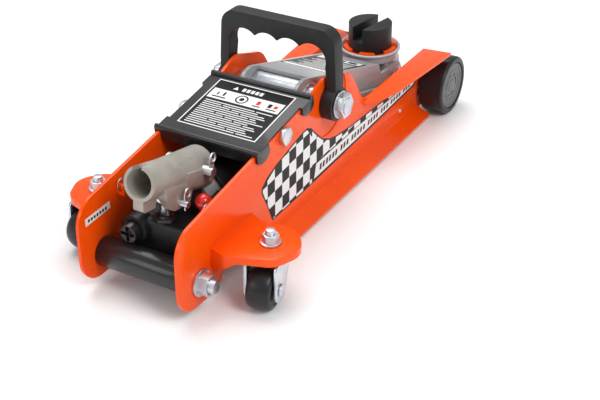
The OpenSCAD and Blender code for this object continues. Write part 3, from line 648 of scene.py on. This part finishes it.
class Tree:
    """A Geometry Nodes tree with named inputs, baked to a plain mesh."""

    def __init__(self, name: str, inputs: dict[str, float]) -> None:
        """Makes the tree with float inputs and their defaults."""
        self.group = bpy.data.node_groups.new(name, "GeometryNodeTree")
        face = self.group.interface
        face.new_socket("Geometry", in_out="OUTPUT", socket_type="NodeSocketGeometry")
        self.ids: dict[str, str] = {}
        for label, value in inputs.items():
            socket = face.new_socket(label, in_out="INPUT", socket_type="NodeSocketFloat")
            socket.default_value = value
            self.ids[label] = socket.identifier
        self.source = self.group.nodes.new("NodeGroupInput")
        self.sink = self.group.nodes.new("NodeGroupOutput")

    def node(self, kind: str, settings: dict | None = None, links: dict | None = None) -> bpy.types.Node:
        """Adds a node by its full type name, with settings and socket values or links."""
        node = self.group.nodes.new(kind)
        for key, value in (settings or {}).items():
            setattr(node, key, value)
        for key, value in (links or {}).items():
            socket = node.inputs[key]
            if isinstance(value, bpy.types.NodeSocket):
                self.group.links.new(value, socket)
            else:
                socket.default_value = value
        return node

    def given(self, label: str) -> bpy.types.NodeSocket:
        """The tree's input of that name."""
        return self.source.outputs[label]

    def math(self, operation: str, a: object, b: object = 0.0) -> bpy.types.NodeSocket:
        """A Math node's result."""
        return self.node("ShaderNodeMath", {"operation": operation}, {0: a, 1: b}).outputs[0]

    def finish(self, geometry: bpy.types.NodeSocket, finish: Finish) -> None:
        """Ends the tree in Realize Instances and Set Material."""
        real = self.node("GeometryNodeRealizeInstances", links={"Geometry": geometry})
        shown = self.node("GeometryNodeSetMaterial", links={"Geometry": real.outputs[0],
                                                            "Material": finish.material()})
        self.group.links.new(shown.outputs[0], self.sink.inputs[0])

    def bake(self, name: str, values: dict[str, float], place: Matrix | None = None) -> bpy.types.Object:
        """Evaluates the tree with given inputs and returns a plain mesh object.

        Args:
            name: The new object's name.
            values: Inputs by name.
            place: Where the mesh goes.
        Returns:
            The object, with no modifier left on it.
        """
        host = bpy.data.objects.new(name + "_host", bpy.data.meshes.new(name + "_host"))
        bpy.context.scene.collection.objects.link(host)
        modifier = host.modifiers.new("nodes", "NODES")
        modifier.node_group = self.group
        for label, value in values.items():
            modifier[self.ids[label]] = value
        graph = bpy.context.evaluated_depsgraph_get()
        mesh = bpy.data.meshes.new_from_object(host.evaluated_get(graph), depsgraph=graph)
        host.modifiers.remove(modifier)
        bpy.data.objects.remove(host)
        if place is not None:
            mesh.transform(place)
        mesh.name = name
        obj = bpy.data.objects.new(name, mesh)
        bpy.context.scene.collection.objects.link(obj)
        return obj


def coil_tree() -> Tree:
    """A coil of wire along +Z with inputs Radius, Length, Turns and Wire."""
    tree = Tree("wire_coil", {"Radius": 0.004, "Length": 0.1, "Turns": 30.0, "Wire": 0.0008, "Steps": 16.0})
    points = tree.math("MULTIPLY", tree.given("Turns"), tree.given("Steps"))
    line = tree.node("GeometryNodeCurvePrimitiveLine", {}, {"Start": (0, 0, 0), "End": (0, 0, 1)})
    count = tree.node("FunctionNodeFloatToInt", {}, {0: points})
    dense = tree.node("GeometryNodeResampleCurve", {}, {"Curve": line.outputs[0], "Count": count.outputs[0]})
    part = tree.node("GeometryNodeSplineParameter").outputs["Factor"]
    angle = tree.math("MULTIPLY", tree.math("MULTIPLY", part, tree.given("Turns")), 2 * math.pi)
    x = tree.math("MULTIPLY", tree.math("COSINE", angle), tree.given("Radius"))
    y = tree.math("MULTIPLY", tree.math("SINE", angle), tree.given("Radius"))
    z = tree.math("MULTIPLY", part, tree.given("Length"))
    where = tree.node("ShaderNodeCombineXYZ", {}, {0: x, 1: y, 2: z})
    bent = tree.node("GeometryNodeSetPosition", {},
        {"Geometry": dense.outputs[0], "Position": where.outputs[0]})
    ring = tree.node("GeometryNodeCurvePrimitiveCircle", {}, {"Resolution": 8, "Radius": tree.given("Wire")})
    wire = tree.node("GeometryNodeCurveToMesh", {}, {"Curve": bent.outputs[0],
                                                     "Profile Curve": ring.outputs[0], "Fill Caps": True})
    smooth = tree.node("GeometryNodeSetShadeSmooth", {}, {"Geometry": wire.outputs[0]})
    tree.finish(smooth.outputs[0], SPRING_WIRE)
    return tree


def ridge_tree(finish: Finish) -> Tree:
    """Rolled thread ridges along +Z with inputs Radius, Length, Pitch and Depth."""
    tree = Tree("thread_ridges_" + finish.name, {"Radius": 0.005, "Length": 0.01, "Pitch": 0.0014,
                                                 "Depth": 0.0004})
    turns = tree.math("DIVIDE", tree.given("Length"), tree.given("Pitch"))
    count = tree.node("FunctionNodeFloatToInt", {}, {0: turns})
    line = tree.node("GeometryNodeMeshLine", {"mode": "OFFSET"}, {"Count": count.outputs[0]})
    step = tree.node("ShaderNodeCombineXYZ", {}, {2: tree.given("Pitch")})
    tree.group.links.new(step.outputs[0], line.inputs["Offset"])
    circle = tree.node("GeometryNodeCurvePrimitiveCircle", {},
        {"Resolution": 28, "Radius": tree.given("Radius")})
    wire = tree.node("GeometryNodeCurvePrimitiveCircle", {}, {"Resolution": 5, "Radius": tree.given("Depth")})
    ridge = tree.node("GeometryNodeCurveToMesh", {},
        {"Curve": circle.outputs[0], "Profile Curve": wire.outputs[0]})
    placed = tree.node("GeometryNodeInstanceOnPoints", {},
        {"Points": line.outputs[0], "Instance": ridge.outputs[0]})
    smooth = tree.node("GeometryNodeSetShadeSmooth", {}, {"Geometry": placed.outputs[0]})
    tree.finish(smooth.outputs[0], finish)
    return tree


# ---------------------------------------------------------------- sub-assemblies

@dataclass
class ChassisFrame:
    """The two folded side plates with their rear tube, cover and fasteners."""

    rounding: float = 0.0011
    tube_x: float = -0.220
    tube_z: float = 0.030
    threads: Tree = field(init=False)

    def build(self) -> None:
        """Builds the plates, cover and fasteners."""
        for side in ("right", "left"):
            eased("side_plate_" + side, ORANGE, self.rounding, 3, 40.0, self.bends())
        eased("spring_tabs", ORANGE, 0.0006, 2)
        eased("cover_plate", BLACK, 0.0008, 3)
        eased("rear_tube", BLACK, 0.0008, 2)
        eased("stay_tube", BLACK, 0.0005, 1)
        eased("unit_mount", BLACK, 0.0008, 2)
        for node in ("rear_tie_bolt", "rear_tie_nut", "stay_bolts", "pivot_nuts", "pivot_washers",
                     "kingpin_nuts",
                     "kingpins", "kingpin_races", "frame_link_pins", "front_axle", "axle_washers",
                     "arm_pivot_shaft"):
            eased(node, ZINC, 0.0006, 2, 25.0)
        self.threads = ridge_tree(ZINC)
        self.thread("tie_bolt_thread", (self.tube_x, -0.0616, self.tube_z), (0, -1, 0), 0.0058, 0.0042)
        for side in (-1, 1):
            name = "right" if side < 0 else "left"
            self.thread(f"kingpin_thread_{name}", (-0.171, side * 0.088, 0.0626), (0, 0, 1), 0.0038, 0.0032)
        self.rivets()

    @staticmethod
    def bends() -> list[tuple[Callable[[Vector], bool], float, int]]:
        """The pressed bends of a side plate: the wing's lip and the foot flange's root."""
        return [
            (lambda p: p.x < -0.125 and abs(p.y) > 0.0503 and p.z > 0.0525 and p.z < 0.0535, 0.0030, 5),
            (lambda p: p.x > -0.131 and abs(abs(p.y) - 0.050) < 0.0002 and p.z < 0.0127, 0.0022, 4),
        ]

    def rivets(self) -> None:
        """Puts the small rivets on the plates' outer faces, with Geometry Nodes."""
        tree = Tree("dome_rivet", {"Radius": 0.0025, "Height": 0.0013})
        dome = tree.node("GeometryNodeMeshUVSphere", {}, {"Segments": 24, "Rings": 12, "Radius": 1.0})
        size = tree.node("ShaderNodeCombineXYZ", {}, {0: tree.given("Radius"), 1: tree.given("Radius"),
                                                      2: tree.given("Height")})
        flat = tree.node("GeometryNodeTransform", {}, {"Geometry": dome.outputs[0], "Scale": size.outputs[0]})
        smooth = tree.node("GeometryNodeSetShadeSmooth", {}, {"Geometry": flat.outputs[0]})
        tree.finish(smooth.outputs[0], ZINC)
        for name, side in (("right", -1), ("left", 1)):
            piece = tree.bake("front_rivet_" + name, {"Radius": 0.0027, "Height": 0.0014},
                              axis_to((0.152, side * 0.050, 0.023), (0, side, 0)))
            settle(piece, Body.FRAME.value)

    def thread(self, name: str, start: Sequence[float], along: Sequence[float], radius: float,
               length: float) -> None:
        """Puts thread ridges on a bolt's end."""
        piece = self.threads.bake(name, {"Radius": radius, "Length": length, "Pitch": THREAD_PITCH,
            "Depth": THREAD_DEPTH},
                                  axis_to(start, along))
        settle(piece, Body.FRAME.value)


@dataclass
class PowerUnit:
    """The pump block, reservoir, cylinder, ram, valve and plug."""

    def build(self) -> None:
        """Builds the hydraulic pieces."""
        eased("pump_block", BLOCK_CAST, 0.0018, 3)
        eased("reservoir_tube", BLACK, 0.0005, 1)
        eased("end_cap", BLACK, 0.0012, 2)
        eased("cylinder_tube", ARM_GREY, 0.0003, 1)
        eased("ram", RAM_CHROME, 0.0005, 2)
        eased("ram_yoke", ARM_GREY, 0.0012, 2)
        eased("release_valve", BLACK, 0.0008, 2)
        eased("pump_gland", BLACK, 0.0005, 2, 25.0)
        eased("pump_plunger", RAM_CHROME, 0.0006, 2)
        eased("oil_plug", PLUG, 0.0004, 2)


@dataclass
class LeverSocket:
    """The cast socket that takes the pump lever, with its pins and clips."""

    def build(self) -> None:
        """Builds the socket and its pins."""
        eased("handle_socket", SOCKET_CAST, 0.0012, 3)
        for node in ("socket_pin", "plunger_pin"):
            eased(node, ZINC, 0.0005, 2)
        eased("socket_clips", ZINC, 0.0, 1)


@dataclass
class LiftLinkage:
    """The lift arm with its bush, pins, levelling links and bracket."""

    def build(self) -> None:
        """Builds the moving steelwork."""
        eased("lift_arm", ARM_GREY, 0.0013, 3)
        eased("arm_bush", ZINC, 0.0008, 2)
        eased("crank_pin", ZINC, 0.0006, 2)
        eased("saddle_pin", ZINC, 0.0006, 2)
        eased("saddle_bracket", ARM_GREY, 0.0012, 2)
        eased("bracket_link_pin", ZINC, 0.0006, 2)
        for side in ("right", "left"):
            eased("link_" + side, ARM_GREY, 0.0006, 2)


@dataclass
class Saddle:
    """The dish with its toothed ring and slotted pad."""

    x: float = 0.178
    rim_r: float = 0.032
    rim_z: float = 0.077
    floor_z: float = 0.0695

    def build(self) -> None:
        """Builds the dish with a rolled lip, the ring and the pad."""
        bm = bmesh.new()
        r, lip = self.rim_r, 0.0016
        wall = r - 0.0045
        profile = [(0.0, self.floor_z - 0.009), (0.009, self.floor_z - 0.009), (0.009, self.floor_z - 0.0035),
                   (r - 0.0035, self.floor_z - 0.0035), (r - 0.0024, self.floor_z - 0.0028),
                   (r - 0.0020, self.floor_z - 0.0015), (r - 0.002, self.rim_z - 0.0034)]
        centre = (r - lip, self.rim_z - lip)
        profile += [(centre[0] + lip * math.cos(math.radians(a)), centre[1] + lip * math.sin(math.radians(a)))
                    for a in range(-40, 171, 21)]
        profile += [(wall, self.rim_z - 0.0035), (wall, self.floor_z), (0.0, self.floor_z)]
        lathe(bm, profile, Matrix.Translation((self.x, 0, 0)), 96)
        settle(link("saddle_dish_rolled", bm, [CUP_GREY]), Body.SADDLE.value, ["saddle_dish"])
        eased("saddle_ring", ORANGE, 0.0006, 2)
        eased("rubber_pad", PAD, 0.0014, 3)


@dataclass
class FrontWheels:
    """Two wide moulded wheels with recessed hub faces."""

    x: float = 0.219
    z: float = 0.031
    inner_y: float = 0.0535
    width: float = 0.026
    radius: float = 0.031

    def build(self) -> None:
        """Builds both wheels."""
        for name, side in (("right", -1), ("left", 1)):
            bm = bmesh.new()
            place = axis_to((self.x, side * self.inner_y, self.z), (0, side, 0))
            w, r = self.width, self.radius
            tread = [(0.0061, 0.0), (0.013, 0.0), (0.0145, 0.0012), (0.026, 0.0012), (0.0275, 0.0),
                (r - 0.0022, 0.0)]
            tread += [(r - 0.0022 + 0.0022 * math.sin(math.radians(a)),
                0.0022 - 0.0022 * math.cos(math.radians(a)))
                      for a in range(15, 91, 15)]
            tread += [(r, w * 0.5), (r - 0.0022, w)]
            tread[-1:] = [(r - 0.0026 + 0.0026 * math.cos(math.radians(a)),
                w - 0.0026 + 0.0026 * math.sin(math.radians(a)))
                          for a in range(0, 91, 15)]
            tread += [(r - 0.0052, w), (r - 0.0060, w - 0.0006), (r - 0.0066, w - 0.0030)]
            lathe(bm, tread + [(0.0061, w - 0.0040)], place, 96)
            settle(link(f"front_wheel_{name}_moulded", bm, [TREAD]), f"wheel_front_{name}",
                   [f"front_wheel_{name}"])
            self.cap(name, place)

    def cap(self, name: str, place: Matrix) -> None:
        """Builds a wheel's grey cap, with a raised ring and three curved bars."""
        bm = bmesh.new()
        face = self.width - 0.0016
        rim = self.radius - 0.0067
        profile = [(0.0, face - 0.0020), (rim, face - 0.0020), (rim, face + 0.0002),
                   (rim - 0.0006, face + 0.0007), (rim - 0.0030, face + 0.0007), (rim - 0.0036, face), (0.0172, face),
                   (0.0168, face + 0.0005),
                   (0.0156, face + 0.0005), (0.0152, face), (0.0075, face), (0.0068, face + 0.0006),
                   (0.0, face + 0.0006)]
        lathe(bm, profile, place, 96)
        for k in range(3):
            arc = [math.radians(120 * k + 15 + step * 10) for step in range(9)]
            bar = [(0.0134 * math.cos(a), 0.0134 * math.sin(a)) for a in arc]
            bar += [(0.0104 * math.cos(a), 0.0104 * math.sin(a)) for a in reversed(arc)]
            prism(bm, bar, place @ Matrix.Translation((0, 0, face - 0.0004)), 0.0010)
        settle(link(f"hub_cap_{name}_moulded", bm, [HUB]), f"wheel_front_{name}",
            [f"hub_cap_{name}"])


@dataclass
class Casters:
    """Two swivel casters with crowned wheels."""

    kingpin: tuple[float, float] = (-0.171, 0.088)
    trail: float = 0.016
    turn_deg: float = 10.0
    radius: float = 0.0195
    width: float = 0.022

    def build(self) -> None:
        """Builds both casters."""
        for name, side in (("right", -1), ("left", 1)):
            eased(f"caster_fork_{name}", ZINC, 0.0007, 2)
            eased(f"caster_rivet_{name}", ZINC, 0.0006, 3)
            angle = math.radians(180 - self.turn_deg)
            back = Vector((math.cos(angle), side * math.sin(angle), 0))
            centre = Vector((self.kingpin[0], side * self.kingpin[1], self.radius)) + back * self.trail
            axle = Vector((-back.y, back.x, 0))
            bm = bmesh.new()
            half = self.width / 2
            crown = [(self.radius - 0.0032 + 0.0032 * math.cos(t), half * 0.94 * math.sin(t))
                     for t in (math.radians(a) for a in range(-90, 91, 15))]
            profile = [(0.0032, -half), (0.0075, -half), (0.0085, -half + 0.0012), (0.013, -half + 0.0012),
                       (0.0142, -half), *crown, (0.0142, half), (0.013, half - 0.0012),
                       (0.0085, half - 0.0012), (0.0075, half), (0.0032, half)]
            lathe(bm, profile, axis_to(centre, axle), 72)
            piece = link(f"caster_wheel_{name}_crowned", bm, [TREAD])
            settle(piece, f"wheel_caster_{name}", [f"caster_wheel_{name}"])


@dataclass
class CarryHandle:
    """The moulded bail."""

    def build(self) -> None:
        """Builds the bail."""
        eased("carry_handle", GRIP, 0.0026, 4, 30.0)


@dataclass
class ReturnSprings:
    """Two extension springs between the side plates and the crank pin."""

    coil_r: float = 0.0036
    wire: float = 0.00075
    hook_length: float = 0.012

    def build(self) -> None:
        """Builds both springs, each a coil with a wire hook at either end."""
        tree = coil_tree()
        for name, side in (("right", -1), ("left", 1)):
            low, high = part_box("return_spring_" + name)
            start = Vector((low.x, side * 0.0405, 0.079))
            end = Vector((high.x + 0.001, side * 0.0345, 0.0643))
            along = (end - start)
            length = along.length - 2 * self.hook_length
            place = axis_to(start + along.normalized() * self.hook_length, along)
            piece = tree.bake(f"return_spring_{name}_coil", {"Radius": self.coil_r, "Length": length,
                                                             "Turns": round(length / 0.0019),
                                                             "Wire": self.wire}, place)
            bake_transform(piece)
            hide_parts("return_spring_" + name)
            unit = along.normalized()
            self.hook(name + "_rear", start + unit * self.hook_length, -unit, Body.FRAME.value,
                      0.0048, self.hook_length + 0.0012, side * 0.0020)
            self.hook(name + "_front", end - unit * self.hook_length, unit, Body.RAM.value,
                      0.0042, self.hook_length - 0.0030, 0.0)

    def hook(self, name: str, root: Vector, along: Vector, body: str, eye: float, run: float,
             aside: float) -> None:
        """Builds one end's wire hook, an open eye in the upright plane.

        Args:
            name: The spring's side and end.
            root: Where the coil ends.
            along: Direction from the coil outward.
            body: The body it rides on.
            eye: Radius of the eye.
            run: Distance from the coil to the eye's middle.
            aside: How far the eye is set over in Y.
        """
        up = Vector((0, 0, 1))
        points = [root - along * 0.002 + up * self.coil_r * 0.6, root + up * 0.001, root + along * run * 0.5]
        centre = root + along * run + up * eye + Vector((0, aside, 0))
        points += [centre + (along * math.sin(a) - up * math.cos(a)) * eye
                   for a in (math.radians(d) for d in range(0, 281, 20))]
        bm = bmesh.new()
        wire(bm, points, self.wire)
        settle(link("return_spring_hook_" + name, bm, [SPRING_WIRE], 60.0), body)


@dataclass
class SideFilm:
    """Chequered trim films on the outer faces of the side plates."""

    thickness: float = 0.00012
    y: float = 0.0500
    outline: tuple[Point2, ...] = (
        (-0.1225, 0.064), (-0.113, 0.046), (-0.105, 0.0275), (-0.055, 0.0285), (0.040, 0.032),
        (0.120, 0.0355),
        (0.184, 0.039), (0.187, 0.042), (0.186, 0.0485), (0.0866, 0.0535), (0.040, 0.0555), (0.014, 0.058),
        (0.0, 0.061), (-0.015, 0.068), (-0.027, 0.079), (-0.036, 0.088), (-0.043, 0.0912), (-0.052, 0.0905),
        (-0.074, 0.0855), (-0.098, 0.080), (-0.113, 0.0747), (-0.1215, 0.069))

    def build(self) -> None:
        """Builds one film on each side."""
        for name, side in (("right", -1), ("left", 1)):
            bm = bmesh.new()
            place = Matrix(((1, 0, 0, 0), (0, 0, side, side * self.y), (0, 1, 0, 0), (0, 0, 0, 1)))
            prism(bm, self.outline, place, self.thickness, 0)
            raised = place @ Matrix.Translation((0, 0, self.thickness))
            for shape in self.white_shapes():
                prism(bm, shape, raised, self.thickness * 0.5, 1)
            over = place @ Matrix.Translation((0, 0, self.thickness * 1.5))
            for shape in self.dark_bars():
                prism(bm, shape, over, self.thickness * 0.4, 0)
            settle(link(f"side_film_{name}", bm, [INK_BLACK, INK_WHITE], 20.0), Body.FRAME.value)

    def white_shapes(self) -> list[list[Point2]]:
        """The white squares and bands printed on the black film."""
        shapes: list[list[Point2]] = []
        cell, tilt, lean = 0.0128, math.radians(14), 0.25
        field_left = [(-0.1205, 0.064), (-0.104, 0.029), (-0.034, 0.0305), (-0.034, 0.078), (-0.0435, 0.0895),
                      (-0.052, 0.0890), (-0.098, 0.0785), (-0.1195, 0.068)]
        tops = [(-0.034, 0.0840), (-0.0275, 0.0775), (-0.0155, 0.0668), (-0.001, 0.0598), (0.013, 0.0568),
                (0.040, 0.0543), (0.098, 0.0516), (0.150, 0.0492)]
        windows = [field_left] + [[(x0, 0.0486), (x1, 0.0486), (x1, z1), (x0, z0)]
                                  for (x0, z0), (x1, z1) in zip(tops, tops[1:])]
        for i in range(-4, 22):
            for j in range(-8, 12):
                if (i + j) % 2:
                    continue
                square = [((x + lean * y) * math.cos(tilt) - y * math.sin(tilt) - 0.125,
                           (x + lean * y) * math.sin(tilt) * 0.3 + y * math.cos(tilt) + 0.028)
                          for x, y in rect(i * cell, j * cell, (i + 1) * cell, (j + 1) * cell)]
                for window in windows:
                    part = clipped(square, window)
                    if len(part) > 2:
                        shapes.append(part)
        shapes.append([(-0.030, 0.0325), (0.060, 0.0355), (0.181, 0.0410), (0.1835, 0.0435), (0.181, 0.0468),
                       (0.060, 0.0480), (-0.026, 0.0465)])
        return shapes

    def dark_bars(self) -> list[list[Point2]]:
        """The plain slanted bars in the middle of the white band."""
        bars = []
        x = -0.020
        for group in (6, 3, 5, 4, 3, 4, 3):
            for k in range(group):
                z = 0.0368 + (x + 0.020) * 0.0275
                tall = 0.0062 - (x + 0.020) * 0.0115
                bars.append([(x, z), (x + 0.0036, z + 0.0001), (x + 0.0048, z + tall),
                    (x + 0.0012, z + tall)])
                x += 0.0064 if k % 2 else 0.0058
            x += 0.0042
        return bars


@dataclass
class PlateLabel:
    """The small white strip inside the left plate's nose."""

    def build(self) -> None:
        """Builds the strip, with short plain bars."""
        bm = bmesh.new()
        place = Matrix(((1, 0, 0, 0), (0, 0, -1, 0.0470), (0, 1, 0, 0), (0, 0, 0, 1)))
        t = 0.00015
        prism(bm, [(-0.2408, 0.0640), (-0.2075, 0.0655), (-0.2080, 0.0722), (-0.2410, 0.0712)], place, t, 0)
        for k in range(7):
            x = -0.2375 + k * 0.0038
            prism(bm, rect(x, 0.0664, x + 0.0024, 0.0692), place @ Matrix.Translation((0, 0, t)), t * 0.4, 1)
        settle(link("plate_label", bm, [INK_WHITE, INK_BLACK], 20.0), Body.FRAME.value)


@dataclass
class CoverFilm:
    """The printed panel on the cover, with plain bars in place of print."""

    slope_deg: float = 9.0

    def build(self) -> None:
        """Builds the film in the plane of the cover."""
        low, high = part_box("cover_plate")
        slope = math.radians(self.slope_deg)
        along = Vector((math.cos(slope), 0, math.sin(slope)))
        up = Vector((-math.sin(slope), 0, math.cos(slope)))
        start = Vector((-0.132, 0, 0.1032)) + up * 0.00205
        place = Matrix(((along.x, 0, up.x, start.x), (0, 1, 0, 0), (along.z, 0, up.z, start.z), (0, 0, 0, 1)))
        bm = bmesh.new()
        t = 0.00012
        layers: list[tuple[list[Point2], int]] = [(rect(0.017, -0.040, 0.089, 0.040), 1)]
        prism(bm, layers[0][0], place, t, 1)
        prism(bm, rect(0.0182, -0.0388, 0.0878, 0.0388), place @ Matrix.Translation((0, 0, t)), t * 0.4, 0)
        top = place @ Matrix.Translation((0, 0, t * 1.4))
        prism(bm, rect(0.0600, -0.0368, 0.0750, 0.0368), top, t * 0.4, 1)
        for y in (-0.0100, -0.0055, -0.0010, 0.0035, 0.0080):
            prism(bm, rect(0.0788, y, 0.0836, y + 0.0032), top, t * 0.4, 1)
        prism(bm, [(0.0788, 0.0150), (0.0788, 0.0205), (0.0836, 0.01775)], top, t * 0.4, 1)
        for row in range(13):
            x = 0.0206 + row * 0.0029
            stop = 0.0345 - 0.0052 * (row % 3) - 0.003 * (row % 2)
            gap = -0.018 + 0.011 * (row % 4)
            for y0, y1 in ((-stop, gap), (gap + 0.0018, 0.0350)):
                prism(bm, rect(x, y0, x + 0.0011, y1), top, t * 0.4, 1)
        marks = place @ Matrix.Translation((0, 0, t * 1.8))
        ring = [(math.cos(2 * math.pi * k / 28), math.sin(2 * math.pi * k / 28)) for k in range(28)]
        for depth, radius, ink in ((0.2, 0.0062, 0), (0.4, 0.0047, 1), (0.6, 0.0024, 0)):
            prism(bm, [(0.0675 + radius * x, 0.004 + radius * y) for x, y in ring], marks, t * depth, ink)
        for x0, y0, x1, y1, ink in ((0.0625, 0.0190, 0.0642, 0.0330, 0), (0.0660, 0.0220, 0.0720, 0.0240, 0),
                                    (0.0660, 0.0285, 0.0705, 0.0300, 0),
                                    (0.0625, -0.0170, 0.0640, -0.0090, 0),
                                    (0.0655, -0.0150, 0.0712, -0.0112, 2),
                                    (0.0625, -0.0330, 0.0640, -0.0230, 0),
                                    (0.0655, -0.0265, 0.0712, -0.0228, 0),
                                    (0.0662, -0.0325, 0.0704, -0.0290, 2)):
            prism(bm, rect(x0, y0, x1, y1), marks, t * 0.3, ink)
        settle(link("cover_film", bm, [INK_BLACK, INK_WHITE, INK_RED], 20.0), Body.FRAME.value)


@dataclass
class ArmFilm:
    """The small printed panel on top of the lift arm."""

    def build(self) -> None:
        """Builds the film in the plane of the arm's top."""
        a, b = Vector((-0.029, 0, 0.127)), Vector((0.140, 0, 0.076))
        along = (b - a).normalized()
        up = Vector((-along.z, 0, along.x))
        start = a + up * -0.00018
        place = Matrix(((along.x, 0, up.x, start.x), (0, 1, 0, 0), (along.z, 0, up.z, start.z), (0, 0, 0, 1)))
        bm = bmesh.new()
        t = 0.0001
        prism(bm, rect(0.068, -0.0275, 0.158, 0.0275), place, t, 1)
        prism(bm, rect(0.0692, -0.0263, 0.1568, 0.0263), place @ Matrix.Translation((0, 0, t)), t * 0.4, 0)
        top = place @ Matrix.Translation((0, 0, t * 1.4))
        prism(bm, rect(0.0715, -0.024, 0.0790, 0.024), top, t * 0.4, 1)
        for k in range(12):
            x = 0.0825 + k * 0.0046
            reach = 0.023 - 0.0055 * (k % 3) - 0.0025 * (k % 2)
            prism(bm, rect(x, -0.0235, x + 0.0018, reach), top, t * 0.4, 1)
        prism(bm, rect(0.1400, -0.0235, 0.1540, 0.0235), top, t * 0.4, 1)
        over = place @ Matrix.Translation((0, 0, t * 1.8))
        for y in (-0.0195, -0.0065, 0.0065):
            prism(bm, rect(0.1430, y, 0.1510, y + 0.0100), over, t * 0.3, 0)
        settle(link("arm_film", bm, [INK_BLACK, INK_WHITE], 20.0), Body.ARM.value)


@dataclass
class Studio:
    """Camera, floor and soft light."""

    lens_mm: float = 77.03

    def build(self) -> None:
        """Builds the studio."""
        scene = bpy.context.scene
        data = bpy.data.cameras.new("camera")
        data.lens, data.sensor_width = self.lens_mm, 36.0
        camera = bpy.data.objects.new("camera", data)
        scene.collection.objects.link(camera)
        forward = Vector((0.74518, 0.42700, -0.51222)).normalized()
        right = Vector((0.497176, -0.867650, 0.0)).normalized()
        up = right.cross(forward)
        camera.matrix_world = Matrix(((right.x, up.x, -forward.x, -0.92974),
            (right.y, up.y, -forward.y, -0.55071),
                                      (right.z, up.z, -forward.z, 0.62378), (0, 0, 0, 1)))
        scene.camera = camera
        bm = bmesh.new()
        bmesh.ops.create_grid(bm, x_segments=1, y_segments=1, size=4.0)
        floor = link("floor", bm, [Floor("studio_floor", "")])
        world = bpy.data.worlds.new("studio")
        world.use_nodes = True
        world.node_tree.nodes["Background"].inputs[0].default_value = (1.0, 1.0, 1.0, 1.0)
        world.node_tree.nodes["Background"].inputs[1].default_value = 0.55
        scene.world = world
        scene.view_settings.view_transform = "Standard"
        self.lamp("key", (-0.6, -1.5, 1.7), 0.8, 21.0)
        self.lamp("top", (0.4, 0.6, 1.9), 1.5, 26.0)
        self.lamp("rear_fill", (-1.8, 0.9, 1.0), 0.9, 7.0)

    def lamp(self, name: str, place: Sequence[float], size: float, power: float) -> None:
        """Adds a square soft lamp that faces the jack."""
        data = bpy.data.lights.new(name, "AREA")
        data.size, data.energy = size, power
        lamp = bpy.data.objects.new(name, data)
        bpy.context.scene.collection.objects.link(lamp)
        lamp.location = place
        lamp.rotation_euler = (Vector((0, 0, 0.06)) - Vector(place)).to_track_quat("-Z", "Y").to_euler()


def main() -> None:
    """Builds the studio and every sub-assembly."""
    for part in (Studio(), ChassisFrame(), PowerUnit(), LeverSocket(), LiftLinkage(), Saddle(), FrontWheels(),
                 Casters(), CarryHandle(), ReturnSprings(), SideFilm(), PlateLabel(), CoverFilm(), ArmFilm()):
        part.build()
        LOG.info("%s is built", type(part).__name__)


if __name__ == "__main__":
    main()
